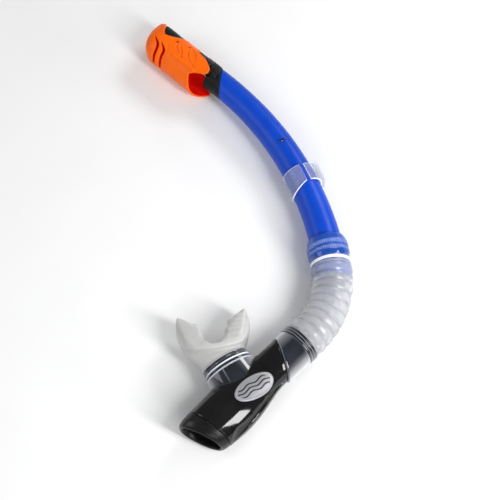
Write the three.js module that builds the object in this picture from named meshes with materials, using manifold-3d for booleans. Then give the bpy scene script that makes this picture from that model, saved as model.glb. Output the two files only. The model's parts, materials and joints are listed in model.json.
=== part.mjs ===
// Snorkel with a splash guard, a curved barrel, a corrugated flexible hose,
// a purge chamber and a silicone mouthpiece.
//
// Millimetres, +Z up. The snorkel lies on its side: its centreline is one flat
// curve parallel to the XY plane. The origin is the centre of the footprint,
// at the level of the surface that the snorkel lies on.
//
// Axis coordinates, used by every piece on the centreline:
//   x  distance to the right of the centreline (the outside of the bends)
//   y  distance along the centreline, 0 where the chamber's straight axis
//      meets the hose's bend, rising towards the splash guard
//   z  height above the centreline plane

import * as THREE from 'three';
import { LoftGeometry } from 'three/addons/geometries/LoftGeometry.js';
import { mergeVertices } from 'three/addons/utils/BufferGeometryUtils.js';
import Module from 'manifold-3d';

const wasm = await Module();
wasm.setup();

const DEG = Math.PI / 180;

// ---------------------------------------------------------------- dimensions

const GAP = 0.3;                    // space between two pieces that touch

// Centreline: straight chamber axis, tight hose bend, wide barrel bend,
// straight splash guard axis.
const CHAMBER_HEADING = 45 * DEG;
const HOSE_BEND_RADIUS = 72;
const HOSE_BEND_ANGLE = 51.1 * DEG;
const BARREL_BEND_RADIUS = 311;
const BARREL_BEND_ANGLE = 40.5 * DEG;
const HOSE_TOP = HOSE_BEND_RADIUS * HOSE_BEND_ANGLE;
const BARREL_TOP = HOSE_TOP + BARREL_BEND_RADIUS * BARREL_BEND_ANGLE;

// Barrel
const BARREL_LOW_RADIUS = 14;
const BARREL_HIGH_RADIUS = 11.9;
const BARREL_TAPER_END = 250;
const BARREL_WALL = 1.8;
const BARREL_JOINT_SLOPE = 0.75;    // the oblique seam between barrel and core
const BARREL_JOINT = BARREL_TOP - 1.3;
const BARREL_START = 57;            // its lower end shows inside the hose
const LUG_CENTRE = 192.8;

// Splash guard and core, measured along y from the top of the barrel
const GUARD_WALL = 1.8;
const GUARD_LEFT = -24.6;
const GUARD_RIGHT = 11.8;
const GUARD_HALF_HEIGHT = 16.6;
const GUARD_SHOULDER = 57;
const GUARD_TIP = 87.8;
const CORE_WALL = 1.6;

// Strap keeper
const KEEPER_CENTRE = 154.3;
const KEEPER_WIDTH = 17;
const KEEPER_BORE = 13.6;
const KEEPER_WALL = 1.5;
const KEEPER_GAP_MIDDLE = 82 * DEG;
const KEEPER_GAP_HALF = 7 * DEG;

// Upper collar and hose
const COLLAR_BOTTOM = 68;
const COLLAR_TOP = 92;
const COLLAR_RADIUS = 17.6;
const HOSE_RADIUS = 17.1;
const HOSE_VALLEY = 16.2;
const HOSE_BORE = 14.3;
const HOSE_RINGS = 9;
const HOSE_START = -7.7;
const HOSE_END = 67.7;

// Chamber, measured along y; the purge end has the lowest y
const NECK_TOP = -7.4;
const NECK_RADIUS = 16.9;
const NECK_BORE = 14.7;
const SHELL_WALL = 2;
const BODY_WALL = 1.8;
const SHELL_TOP = -31.5;
const SHELL_TOP_SLOPE = -0.5;       // the shell's upper edge is cut oblique
const SHELL_BOTTOM = -110.5;
const SEAM_SLOPE = 0.15;
const CAP_END = -121;
const CAP_END_SLOPE = 0.36;
const SEAT_LEVEL = -101;

// Mouthpiece port, in its own frame: y along the port, 0 on the chamber axis
const PORT_FOOT = -73;
const PORT_HEADING = 121.5 * DEG;
const PORT_SHIFT = 2;
const PORT_WIDE = 15.5;
const PORT_HIGH = 9.4;
const PORT_WALL = 1.8;
const PORT_TOP = 32;

// Segment counts
const ROUND = 24;
const FINE = 28;

// ----------------------------------------------------------------- materials

function plastic(color, roughness) {
  return new THREE.MeshStandardMaterial({ color, roughness, metalness: 0 });
}

const ORANGE = plastic(0xff640a, 0.35);
const CORE_BLACK = plastic(0x262626, 0.5);
const BARREL_BLUE = plastic(0x003cc8, 0.25);
const CLEAR = plastic(0xd8dce4, 0.1);
const SILICONE = plastic(0xdedcda, 0.4);
const GLOSS_BLACK = plastic(0x0a0a0c, 0.08);
const SATIN_BLACK = plastic(0x232323, 0.45);
const SILVER = new THREE.MeshStandardMaterial({
  color: 0xc8c6cc, roughness: 0.3, metalness: 0.8,
});

// -------------------------------------------------------------- solid helpers

// A solid made from a closed geometry's positions alone.
function toSolid(geometry) {
  const bare = new THREE.BufferGeometry();
  bare.setAttribute('position', geometry.attributes.position);
  bare.setIndex(geometry.index);
  const merged = mergeVertices(bare, 1e-4);
  return new wasm.Manifold(new wasm.Mesh({
    numProp: 3,
    vertProperties: new Float32Array(merged.attributes.position.array),
    triVerts: new Uint32Array(merged.index.array),
  }));
}

function toGeometry(solid) {
  const mesh = solid.getMesh();
  const geometry = new THREE.BufferGeometry();
  const positions = new THREE.BufferAttribute(mesh.vertProperties, 3);
  geometry.setAttribute('position', positions);
  geometry.setIndex(new THREE.BufferAttribute(mesh.triVerts, 1));
  geometry.computeVertexNormals();
  return geometry;
}

function join(...geometries) {
  return toGeometry(geometries.map(toSolid).reduce((sum, next) => sum.add(next)));
}

function cut(geometry, ...tools) {
  return toGeometry(
    tools.map(toSolid).reduce((rest, tool) => rest.subtract(tool), toSolid(geometry)),
  );
}

function common(geometry, other) {
  return toGeometry(toSolid(geometry).intersect(toSolid(other)));
}

function box(low, high) {
  const size = high.map((value, i) => value - low[i]);
  const middle = high.map((value, i) => (value + low[i]) / 2);
  return new THREE.BoxGeometry(...size).translate(...middle);
}

// A large block whose lower face is the plane y = level + slope * x.
function blockAbove(level, slope) {
  const reach = 200;
  const block = box([-reach, 0, -reach], [reach, reach, reach]);
  return shearAlong(block, (x) => level + slope * x);
}

function blockBelow(level, slope) {
  const reach = 200;
  const block = box([-reach, -reach, -reach], [reach, 0, reach]);
  return shearAlong(block, (x) => level + slope * x);
}

// Adds shift(x, y, z) to every vertex's y.
function shearAlong(geometry, shift) {
  const points = geometry.attributes.position;
  for (let i = 0; i < points.count; i++) {
    const [x, y, z] = [points.getX(i), points.getY(i), points.getZ(i)];
    points.setY(i, y + shift(x, y, z));
  }
  return geometry;
}

// A ring or tube turned about the y axis from a closed profile of [radius, y].
function turned(profile, segments = ROUND) {
  const closed = [...profile, profile[0]].map(([r, y]) => new THREE.Vector2(r, y));
  if (THREE.ShapeUtils.isClockWise(closed)) closed.reverse();
  return new THREE.LatheGeometry(closed, segments);
}

// A solid through oval sections along y. Each section is
// { y, slope, middle, wide, high, power }.
function ovalLoft(sections, count = ROUND) {
  const rings = sections.map((section) => ovalRing(section, count));
  return new LoftGeometry(rings, { capStart: true, capEnd: true });
}

function ovalRing({ y, slope = 0, middle = 0, wide, high, power = 2 }, count) {
  const ring = [];
  for (let i = 0; i < count; i++) {
    const angle = (i / count) * 2 * Math.PI;
    const x = middle + wide * signedPower(Math.sin(angle), 2 / power);
    const z = high * signedPower(Math.cos(angle), 2 / power);
    ring.push(new THREE.Vector3(x, y + slope * (x - middle), z));
  }
  return ring;
}

function signedPower(value, exponent) {
  return Math.sign(value) * Math.abs(value) ** exponent;
}

// An outline in the XZ plane carried along y from low to high.
function extrudedAlongY(shape, low, high, steps = 1, curveSegments = 18) {
  const geometry = new THREE.ExtrudeGeometry(shape, {
    depth: high - low, steps, bevelEnabled: false, curveSegments,
  });
  return geometry.rotateX(Math.PI / 2).translate(0, high, 0);
}

// An outline in the XY plane carried up z from low to high.
function extrudedAlongZ(shape, low, high, curveSegments = 10) {
  const geometry = new THREE.ExtrudeGeometry(shape, {
    depth: high - low, bevelEnabled: false, curveSegments,
  });
  return geometry.translate(0, 0, low);
}

// -------------------------------------------------------------- the centreline

function arcStep(start, radius, distance) {
  const heading = start.heading + distance / radius;
  return {
    x: start.x + radius * (Math.sin(heading) - Math.sin(start.heading)),
    y: start.y - radius * (Math.cos(heading) - Math.cos(start.heading)),
    heading,
  };
}

function straightStep(start, distance) {
  return {
    x: start.x + distance * Math.cos(start.heading),
    y: start.y + distance * Math.sin(start.heading),
    heading: start.heading,
  };
}

const HOSE_FOOT = { x: 0, y: 0, heading: CHAMBER_HEADING };
const BARREL_FOOT = arcStep(HOSE_FOOT, HOSE_BEND_RADIUS, HOSE_TOP);
const GUARD_FOOT = arcStep(BARREL_FOOT, BARREL_BEND_RADIUS, BARREL_TOP - HOSE_TOP);

function centrelineAt(along) {
  if (along < 0) return straightStep(HOSE_FOOT, along);
  if (along < HOSE_TOP) return arcStep(HOSE_FOOT, HOSE_BEND_RADIUS, along);
  if (along < BARREL_TOP) {
    return arcStep(BARREL_FOOT, BARREL_BEND_RADIUS, along - HOSE_TOP);
  }
  return straightStep(GUARD_FOOT, along - BARREL_TOP);
}

// Carries a piece made around the straight y axis onto the centreline.
function bent(geometry) {
  const points = geometry.attributes.position;
  for (let i = 0; i < points.count; i++) {
    const [right, along] = [points.getX(i), points.getY(i)];
    const at = centrelineAt(along);
    points.setX(i, at.x + right * Math.sin(at.heading));
    points.setY(i, at.y - right * Math.cos(at.heading));
  }
  geometry.computeVertexNormals();
  return geometry;
}

function evenSteps(low, high, count) {
  return Array.from({ length: count + 1 }, (_, i) => low + ((high - low) * i) / count);
}

// ------------------------------------------------------------- barrel and core

function barrelRadius(along) {
  const share = (along - HOSE_TOP) / (BARREL_TAPER_END - HOSE_TOP);
  const taper = BARREL_LOW_RADIUS - BARREL_HIGH_RADIUS;
  return BARREL_LOW_RADIUS - taper * Math.min(Math.max(share, 0), 1);
}

function makeBarrel() {
  const levels = [BARREL_START, ...evenSteps(HOSE_TOP, BARREL_TOP + 14, 17)];
  const outside = levels.map((y) => [barrelRadius(y), y]);
  const inside = levels.map((y) => [barrelRadius(y) - BARREL_WALL, y]).reverse();
  const tube = turned([...outside, ...inside]);
  const seam = blockAbove(BARREL_JOINT - GAP, BARREL_JOINT_SLOPE);
  return bent(join(cut(tube, seam), makeLug()));
}

// The locating lug across the top of the barrel, above the strap keeper.
function makeLug() {
  const surface = barrelRadius(LUG_CENTRE);
  const foot = LUG_CENTRE - 1.3;
  const crown = LUG_CENTRE + 1.3;
  return ovalLoft([
    { y: foot, wide: 3.6, high: 1 },
    { y: foot + 0.6, wide: 4, high: 1.6 },
    { y: crown - 0.6, wide: 4, high: 1.6 },
    { y: crown, wide: 3.6, high: 1 },
  ], 16).translate(0, 0, surface - 0.7);
}

// One section of the splash guard's outer surface, made smaller by inset.
function guardSection(y, inset) {
  const over = Math.max(0, (y - GUARD_SHOULDER) / (GUARD_TIP - GUARD_SHOULDER));
  const sweep = 1 - (1 - over ** 4.2) ** 0.68;
  const left = GUARD_LEFT + (GUARD_RIGHT - GUARD_LEFT - 1.5) * sweep;
  const high = GUARD_HALF_HEIGHT * Math.sqrt(1 - over ** 2.8);
  return {
    y,
    middle: (left + GUARD_RIGHT) / 2,
    wide: Math.max((GUARD_RIGHT - left) / 2 - inset, 0.4),
    high: Math.max(high - inset, 0.4),
    power: 2.15,
  };
}

function guardForm(inset, low, high) {
  const shoulderLevels = [0.16, 0.32, 0.46, 0.58, 0.69, 0.79, 0.87, 0.94, 1];
  const levels = [low, (low + GUARD_SHOULDER) / 2, GUARD_SHOULDER];
  for (const share of shoulderLevels) {
    levels.push(GUARD_SHOULDER + (high - GUARD_SHOULDER) * share);
  }
  return ovalLoft(levels.map((y) => guardSection(y, inset)), FINE);
}

// Carries an outline drawn with its x along the guard and its y upwards
// through the guard from x = from to x = to.
function extrudedAcross(shape, from, to) {
  const turn = new THREE.Matrix4().makeBasis(
    new THREE.Vector3(0, 1, 0), new THREE.Vector3(0, 0, 1), new THREE.Vector3(1, 0, 0),
  );
  return new THREE.ExtrudeGeometry(shape, { depth: to - from, bevelEnabled: false })
    .applyMatrix4(turn)
    .translate(from, 0, 0);
}

// The window on the outside of the bend that shows the core's spine, made
// smaller by margin. Each entry is [level, half height].
function spineWindow(margin = 0) {
  const edge = [
    [-20, 22], [9, 22], [12.5, 17], [21, 15.2], [27, 14.4], [31.3, 12.9], [35.6, 7],
    [40, 4.5], [46, 4.5], [50, 6.5], [54.5, 12.5], [58.5, 15], [62, 17], [68, 17],
    [72.2, 14.3], [77.5, 10], [82, 4],
  ].map(([y, half]) => [y, half - margin]);
  const shape = new THREE.Shape();
  shape.moveTo(edge[0][0], -edge[0][1]);
  for (const [y, half] of edge) shape.lineTo(y, half);
  for (const [y, half] of [...edge].reverse()) shape.lineTo(y, -half);
  return extrudedAcross(shape, -2 + margin, 28);
}

// The rim of the guard's foot seen from the side, as [height, level]. It
// rises from the lower lip, around the air inlet, to the upper left.
function sideRim() {
  const rim = [
    [-17, 3], [-16.4, 5.5], [-15, 9], [-12, 12], [-6, 13.2], [0, 14.2], [4.5, 17],
    [9.5, 19.8], [13, 21.3],
  ];
  const shape = new THREE.Shape();
  shape.moveTo(-40, -30);
  shape.lineTo(rim[0][1], -30);
  for (const [z, y] of rim) shape.lineTo(y, z);
  shape.lineTo(-40, 13);
  return extrudedAcross(shape, -60, 60);
}

// The rim seen from above, as [x, level]: the tongue between the air inlet
// and the spine's window.
function topRim() {
  const rim = [
    [-30, 22], [-18.4, 21.3], [-14.8, 16.7], [-12.4, 11.6], [-10.7, 9.1], [-8.9, 7.7],
    [-7.1, 7.4], [-3, 8.8], [5, 12],
  ];
  const shape = new THREE.Shape();
  shape.moveTo(-30, -40);
  for (const [x, y] of rim) shape.lineTo(x, y);
  shape.lineTo(5, -40);
  return extrudedAlongZ(shape, 12.9, 30);
}

// A wavy claw slit through the guard, from the point from to the point to.
function clawSlit(from, to) {
  const steps = 8;
  const spineLine = [];
  const across = new THREE.Vector2(to[1] - from[1], from[0] - to[0]).normalize();
  for (let i = 0; i <= steps; i++) {
    const share = i / steps;
    const wave = 0.9 * Math.sin(share * 2 * Math.PI) - 3.5 * Math.sin(share * Math.PI);
    spineLine.push({
      x: from[0] + (to[0] - from[0]) * share + across.x * wave,
      y: from[1] + (to[1] - from[1]) * share + across.y * wave,
      half: 0.25 + 1 * Math.sin(share * Math.PI) ** 0.7,
    });
  }
  const shape = new THREE.Shape();
  shape.moveTo(spineLine[0].x, spineLine[0].y);
  for (const { x, y, half } of spineLine) {
    shape.lineTo(x + across.x * half, y + across.y * half);
  }
  for (const { x, y, half } of spineLine.reverse()) {
    shape.lineTo(x - across.x * half, y - across.y * half);
  }
  return extrudedAlongZ(shape, -30, 30);
}

function drainHole(x, y) {
  const hole = new THREE.CylinderGeometry(1.4, 1.4, 30, 3);
  return hole.rotateX(Math.PI / 2).translate(x, y, 20);
}

function makeSplashGuard() {
  const skin = cut(
    guardForm(0, -10, GUARD_TIP),
    guardForm(GUARD_WALL, -11, GUARD_TIP - GUARD_WALL),
  );
  return cut(
    skin,
    sideRim(),
    topRim(),
    spineWindow(),
    clawSlit([-8.7, 75], [-27, 62]),
    clawSlit([-10.8, 64.5], [-27, 54.2]),
    drainHole(-0.6, 53.7),
    drainHole(3.3, 41.5),
  );
}

// The core: a spigot inside the barrel, a flared neck, and a curved spine that
// the splash guard clips onto.
function makeGuardCore() {
  const neckLevels = evenSteps(-16, 24, 7);
  const outside = neckLevels.map((y) => [coreRadius(y), y]);
  const bore = BARREL_HIGH_RADIUS - BARREL_WALL - GAP - CORE_WALL;
  const inside = neckLevels.map((y) => [bore, y]).reverse();
  const neck = cut(
    turned([...outside, ...inside]),
    cut(
      turned([[BARREL_HIGH_RADIUS - BARREL_WALL - GAP, -30], [40, -30], [40, 20],
        [BARREL_HIGH_RADIUS - BARREL_WALL - GAP, 20]]),
      blockAbove(BARREL_JOINT - BARREL_TOP + GAP, BARREL_JOINT_SLOPE),
    ),
  );
  const spine = common(
    cut(
      guardForm(GUARD_WALL + GAP, 6, GUARD_TIP - 6),
      guardForm(GUARD_WALL + GAP + CORE_WALL, 5, GUARD_TIP - 8),
    ),
    spineOutline(),
  );
  const island = common(
    cut(
      guardForm(0.2, 14, GUARD_TIP - 3),
      guardForm(GUARD_WALL + GAP + 0.6, 13, GUARD_TIP - 5),
    ),
    spineWindow(0.4),
  );
  const studs = [57, 68].map((y) => snapStud(y));
  const core = join(neck, spine, island, reliefPad(), ...studs);
  return bent(core.translate(0, BARREL_TOP, 0));
}

function coreRadius(y) {
  const flare = Math.min(Math.max((y + 2) / 14, 0), 1);
  return BARREL_HIGH_RADIUS + 0.9 * flare;
}

function spineOutline() {
  return box([3.5, 12, -40], [40, 83, 40]);
}

function snapStud(y) {
  const stud = new THREE.CylinderGeometry(1.5, 1.9, 3, 12);
  return stud.rotateZ(-Math.PI / 2).translate(GUARD_RIGHT - 0.8, y, 2);
}

// A raised square pad on the neck.
function reliefPad() {
  const pad = box([-4.6, 2, 11], [4.6, 12, 13.6]);
  return pad.rotateY(-8 * DEG);
}

// ---------------------------------------------------------------- strap keeper

function makeKeeper() {
  const clip = cut(
    turned(keeperBand()),
    keeperGapWedge(),
  );
  const keeper = join(clip, strapLoop());
  shearAlong(keeper, (x, y) => (y < 0 ? Math.min(0, x / KEEPER_BORE) * 6 : 0));
  return bent(keeper.translate(0, KEEPER_CENTRE, 0));
}

function keeperBand() {
  const half = KEEPER_WIDTH / 2;
  const outer = KEEPER_BORE + KEEPER_WALL;
  const levels = evenSteps(-half, half, 4);
  return [
    ...levels.map((y) => [outer, y]),
    ...levels.map((y) => [KEEPER_BORE, y]).reverse(),
  ];
}

function keeperGapWedge() {
  const reach = 25;
  const from = KEEPER_GAP_MIDDLE - KEEPER_GAP_HALF;
  const to = KEEPER_GAP_MIDDLE + KEEPER_GAP_HALF;
  const shape = new THREE.Shape();
  shape.moveTo(0, 0);
  shape.lineTo(reach * Math.cos(from), reach * Math.sin(from));
  shape.lineTo(reach * Math.cos(to), reach * Math.sin(to));
  shape.closePath();
  return extrudedAlongY(shape, -20, 20);
}

// The loop that the mask strap passes through, on the outside of the bend.
function strapLoop() {
  const half = KEEPER_WIDTH / 2;
  const outer = KEEPER_BORE + KEEPER_WALL;
  const loop = box([outer - 4, -half, -9.5], [18.9, half, 9.5]);
  const slot = box([outer, -half - 1, -7.8], [17.5, half + 1, 7.8]);
  const barrelSide = new THREE.CylinderGeometry(outer - 0.4, outer - 0.4, 40, ROUND);
  return cut(loop, slot, barrelSide);
}

// -------------------------------------------------------------- collar and hose

function makeUpperCollar() {
  const cuffBore = 15.9;
  const lipBore = 14.5;
  return bent(turned([
    [16.6, COLLAR_BOTTOM],
    [17, COLLAR_BOTTOM + 0.6],
    [17, COLLAR_BOTTOM + 3],
    [16.7, COLLAR_BOTTOM + 3.6],
    [16.9, COLLAR_BOTTOM + 8],
    [COLLAR_RADIUS, COLLAR_BOTTOM + 9],
    [COLLAR_RADIUS, COLLAR_BOTTOM + 12],
    [COLLAR_RADIUS - 0.5, COLLAR_BOTTOM + 12.6],
    [COLLAR_RADIUS, COLLAR_BOTTOM + 13.2],
    [COLLAR_RADIUS, COLLAR_TOP - 6],
    [16.2, COLLAR_TOP - 1],
    [15.7, COLLAR_TOP],
    [lipBore, COLLAR_TOP],
    [lipBore, COLLAR_TOP - 7],
    [cuffBore, COLLAR_TOP - 8],
    [cuffBore, COLLAR_BOTTOM + 12],
    [cuffBore, COLLAR_BOTTOM],
  ]));
}

// The corrugated silicone hose. Each ring overlaps the next like a shingle.
function makeHose() {
  const pitch = (HOSE_END - 3 - (HOSE_START + 2)) / HOSE_RINGS;
  const outside = [[HOSE_RADIUS - 0.4, HOSE_START]];
  for (let ring = 0; ring < HOSE_RINGS; ring++) {
    const foot = HOSE_START + 2 + ring * pitch;
    outside.push([HOSE_VALLEY, foot]);
    outside.push([HOSE_RADIUS, foot + pitch * 0.3]);
    outside.push([HOSE_RADIUS - 0.1, foot + pitch * 0.75]);
  }
  outside.push([HOSE_VALLEY, HOSE_END - 3]);
  outside.push([HOSE_RADIUS - 0.2, HOSE_END - 2]);
  outside.push([HOSE_RADIUS - 0.2, HOSE_END]);
  const topCuff = [[15.5, HOSE_END], [15.5, 83.5], [14.6, 83.5], [14.6, 60]];
  const inside = evenSteps(0, 54, 9).reverse().map((y) => [HOSE_BORE, y]);
  const lowCuff = [[12.4, -6], [12.4, -22], [14.4, -22], [14.4, HOSE_START]];
  return bent(turned([...outside, ...topCuff, ...inside, ...lowCuff]));
}

// The clear ring that holds the hose's lower cuff in the chamber's neck.
function makeLowerRing() {
  const top = NECK_TOP - GAP - 0.3;
  const bottom = top - 7;
  return turned([
    [16.6, top], [17.3, top - 0.6], [17.3, top - 1.8], [16.8, top - 2.4],
    [17.3, top - 3], [17.3, top - 4.4], [16.8, top - 5], [17.3, top - 5.6],
    [17.3, bottom], [NECK_BORE + 0.1, bottom], [NECK_BORE + 0.1, top],
  ]);
}

// --------------------------------------------------------------------- chamber

// The shell's outer sections: [y, middle, half width, half height].
const CHAMBER_FORM = [
  [-12, -0.6, 16.1, 15.9],
  [-40, -0.8, 15.5, 15.6],
  [-50, -0.6, 16, 15.8],
  [-60, 0, 17.4, 16.4],
  [-70, 0.3, 19.2, 17.4],
  [-80, 0.3, 20.5, 18],
  [-90, 0.3, 21, 18.2],
  [-100, 0.1, 20.7, 18],
  [-114, -0.2, 19.6, 17.2],
];

// A solid that follows the shell's outer surface, made smaller by inset.
function chamberForm(inset, low, high) {
  const rows = CHAMBER_FORM.filter(([y]) => y > low && y < high);
  const levels = [low, ...rows.map(([y]) => y).reverse(), high];
  return ovalLoft(levels.map((y) => chamberSection(y, inset)));
}

function chamberSection(y, inset) {
  const last = CHAMBER_FORM.length - 1;
  let upper = CHAMBER_FORM.findIndex(([level]) => level < y) - 1;
  if (upper === -2) upper = last - 1;
  if (upper === -1) upper = 0;
  const [y0, middle0, wide0, high0] = CHAMBER_FORM[upper];
  const [y1, middle1, wide1, high1] = CHAMBER_FORM[upper + 1];
  const share = Math.min(Math.max((y - y0) / (y1 - y0), 0), 1);
  return {
    y,
    middle: middle0 + (middle1 - middle0) * share,
    wide: wide0 + (wide1 - wide0) * share - inset,
    high: high0 + (high1 - high0) * share - inset,
    power: 2.2,
  };
}

// Places a solid of the port's own frame in the chamber's frame.
function atPort(geometry) {
  return geometry
    .rotateZ(PORT_HEADING - CHAMBER_HEADING)
    .translate(0, PORT_FOOT, 0);
}

// An oval tube or rod of the port's frame, larger than the spigot by grow.
function portOval(grow, low, high) {
  const size = { middle: PORT_SHIFT, wide: PORT_WIDE + grow, high: PORT_HIGH + grow };
  return ovalLoft([{ y: low, ...size }, { y: high, ...size }]);
}

const PORT_FLANGE_GROW = 6;
const PORT_FLANGE_TOP = 24;

function makeChamberShell() {
  const skin = cut(
    chamberForm(0, SHELL_BOTTOM - 8, -14),
    chamberForm(SHELL_WALL, SHELL_BOTTOM - 9, -13),
  );
  return cut(
    skin,
    blockAbove(SHELL_TOP, SHELL_TOP_SLOPE),
    blockBelow(SHELL_BOTTOM, SEAM_SLOPE),
    atPort(portOval(PORT_FLANGE_GROW + GAP, 0, 50)),
  );
}

function makeChamberBody() {
  const bodyInset = SHELL_WALL + GAP;
  const neck = cut(
    new THREE.CylinderGeometry(NECK_RADIUS, NECK_RADIUS, 60, ROUND).translate(0, -45.3, 0),
    blockBelow(SHELL_TOP + GAP + 0.2, SHELL_TOP_SLOPE),
  );
  const outside = join(
    chamberForm(bodyInset, SHELL_BOTTOM - 8, -18),
    neck,
    atPort(portOval(PORT_FLANGE_GROW, 8, PORT_FLANGE_TOP)),
    atPort(portOval(0, 8, PORT_TOP)),
  );
  return cut(
    outside,
    chamberForm(bodyInset + BODY_WALL, SHELL_BOTTOM - 9, -23),
    new THREE.CylinderGeometry(12.1, 12.1, 40, ROUND).translate(0, -22, 0),
    new THREE.CylinderGeometry(NECK_BORE, NECK_BORE, 30, ROUND).translate(0, -7.5, 0),
    new THREE.CylinderGeometry(30, 30, 40, ROUND).translate(0, 5.1, 0),
    blockBelow(SHELL_BOTTOM + 1.4, SEAM_SLOPE),
    atPort(portOval(-PORT_WALL, 4, 50)),
  );
}

function makeBadge() {
  const skin = cut(
    chamberForm(-GAP - 0.7, -108, -30),
    chamberForm(-GAP, -109, -29),
  );
  const oval = new THREE.CylinderGeometry(1, 1, 40, 40).rotateX(Math.PI / 2);
  oval.scale(8.6, 17.2, 1).rotateZ(-9 * DEG).translate(4, -66.5, 25);
  return common(skin, oval);
}

// The satin end cap with its oblique oval mouth.
function makePurgeCap() {
  const rim = { ...chamberSection(SHELL_BOTTOM, 0), slope: SEAM_SLOPE };
  const outside = ovalLoft([
    { ...rim, y: CAP_END, slope: CAP_END_SLOPE, middle: 0.8, wide: 16.6, high: 14.4 },
    { ...rim, y: CAP_END + 1.6, slope: CAP_END_SLOPE, middle: 0.5, wide: 18.3, high: 16.1 },
    { ...rim, y: CAP_END + 5, slope: 0.3, middle: 0.1, wide: 19.3, high: 17 },
    { ...rim, y: SHELL_BOTTOM - GAP },
  ]);
  const mouth = ovalLoft([
    { ...rim, y: CAP_END - 3, slope: CAP_END_SLOPE, middle: 0.8, wide: 15.8, high: 13.4 },
    { ...rim, y: CAP_END + 1, slope: CAP_END_SLOPE, middle: 0.8, wide: 15, high: 12.8 },
    { ...rim, y: CAP_END + 4, slope: 0.3, middle: 0.1, wide: 15.4, high: 13.2 },
    { ...rim, y: SHELL_BOTTOM + 12, wide: 13.6, high: 11.6 },
  ]);
  const plugInset = SHELL_WALL + GAP + BODY_WALL + GAP;
  const plug = cut(
    chamberForm(plugInset, SHELL_BOTTOM - 2, SHELL_BOTTOM + 7),
    blockBelow(SHELL_BOTTOM - 1, SEAM_SLOPE),
  );
  return cut(join(outside, plug), mouth);
}

// The spider that carries the purge valve.
function makeValveSeat() {
  const inset = SHELL_WALL + BODY_WALL + 2 * GAP;
  const section = chamberSection(SEAT_LEVEL, inset);
  const plate = chamberForm(inset, SEAT_LEVEL - 1.2, SEAT_LEVEL + 1.2);
  const windows = [];
  for (let quarter = 0; quarter < 4; quarter++) {
    windows.push(seatWindow(quarter).translate(section.middle, 0, 0));
  }
  const stemHole = new THREE.CylinderGeometry(1.6, 1.6, 20, 16);
  stemHole.translate(section.middle, SEAT_LEVEL, 0);
  return cut(plate, stemHole, ...windows);
}

function seatWindow(quarter) {
  const start = quarter * 90 * DEG + 14 * DEG;
  const end = (quarter + 1) * 90 * DEG - 14 * DEG;
  const shape = new THREE.Shape();
  shape.absarc(0, 0, 9.5, start, end, false);
  shape.absarc(0, 0, 4, end - 4 * DEG, start + 4 * DEG, true);
  shape.closePath();
  return extrudedAlongY(shape, SEAT_LEVEL - 5, SEAT_LEVEL + 5, 1, 6);
}

// The silicone flap, its stem and the bulb that holds it in the spider.
function makePurgeValve() {
  const face = SEAT_LEVEL - 1.2 - GAP;
  const back = SEAT_LEVEL + 1.2;
  const middle = chamberSection(SEAT_LEVEL, 0).middle;
  const profile = [
    [0, face - 1.6], [6, face - 1.4], [11.4, face - 0.9], [11.4, face],
    [1.2, face], [1.2, back + 2.6], [2.2, back + 3.4], [1.8, back + 5], [0, back + 5.6],
  ];
  const points = profile.map(([r, y]) => new THREE.Vector2(r, y));
  return new THREE.LatheGeometry(points, 28).translate(middle, 0, 0);
}

// ------------------------------------------------------------------ mouthpiece

function makeMouthpieceBand() {
  const size = (grow, y) => ({
    y, middle: PORT_SHIFT, wide: PORT_WIDE + grow, high: PORT_HIGH + grow,
  });
  const ring = ovalLoft([
    size(4.3, 24.4), size(4.8, 25), size(4.8, 27.6), size(4.3, 28.2), size(4.8, 28.8),
    size(4.5, 33), size(4, 33.5),
  ]);
  return cut(ring, portOval(2.5, 20, 40));
}

// The mouth's own axis leans away from the port's axis.
const MOUTH_LEAN = -22.5 * DEG;
const MOUTH_FOOT = new THREE.Vector3(-3, 35, 0);

// Places a solid of the mouth's frame in the port's frame.
function atMouth(geometry) {
  return geometry.rotateZ(MOUTH_LEAN).translate(MOUTH_FOOT.x, MOUTH_FOOT.y, 0);
}

function mouthNeck(inset) {
  const turn = (share) => MOUTH_LEAN * share;
  const rows = [
    { low: 25, lean: 0, x: PORT_SHIFT, wide: PORT_WIDE + 2.2, high: PORT_HIGH + 2.2 },
    { low: 33.4, lean: 0, x: PORT_SHIFT, wide: PORT_WIDE + 2.2, high: PORT_HIGH + 2.2 },
    { low: 33.9, lean: 0, x: PORT_SHIFT, wide: 19, high: 12.6 },
    { low: 38, lean: 0.4, x: PORT_SHIFT - 0.8, wide: 19, high: 11.8 },
    { low: 42, lean: 0.8, x: PORT_SHIFT - 1.6, wide: 21, high: 11.4 },
    { low: 46, lean: 1, x: PORT_SHIFT - 1, wide: 22.5, high: 11 },
  ];
  return ovalLoft(rows.map(({ low, lean, x, wide, high }) => ({
    y: low, slope: Math.tan(turn(lean)), middle: x, wide: wide - inset, high: high - inset,
  })));
}

// The lip shield and its two wings, as a curved plate seen from above.
function lipShield() {
  const outer = [[0, 6], [12, 7], [21, 10], [27, 18], [30, 29], [28, 39.5]];
  const inner = [[26.4, 40.5], [26, 30], [22, 20.5], [15, 14], [8, 11.5], [0, 10.5]];
  const right = [...outer, ...inner];
  const left = [...right].reverse().map(([x, y]) => [-x, y]);
  const shape = new THREE.Shape();
  shape.moveTo(...outer[0]);
  shape.splineThru(outer.slice(1).map(([x, y]) => new THREE.Vector2(x, y)));
  shape.lineTo(...inner[0]);
  shape.splineThru(inner.slice(1).map(([x, y]) => new THREE.Vector2(x, y)));
  shape.splineThru(left.slice(1, 6).map(([x, y]) => new THREE.Vector2(x, y)));
  shape.lineTo(...left[6]);
  shape.splineThru(left.slice(7).map(([x, y]) => new THREE.Vector2(x, y)));
  const plate = extrudedAlongZ(shape, -20, 20, 3);
  const face = ovalLoft([
    { y: -10, wide: 31, high: 16.5, power: 2.3 },
    { y: 60, wide: 31, high: 16.5, power: 2.3 },
  ]);
  return common(plate, face);
}

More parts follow.
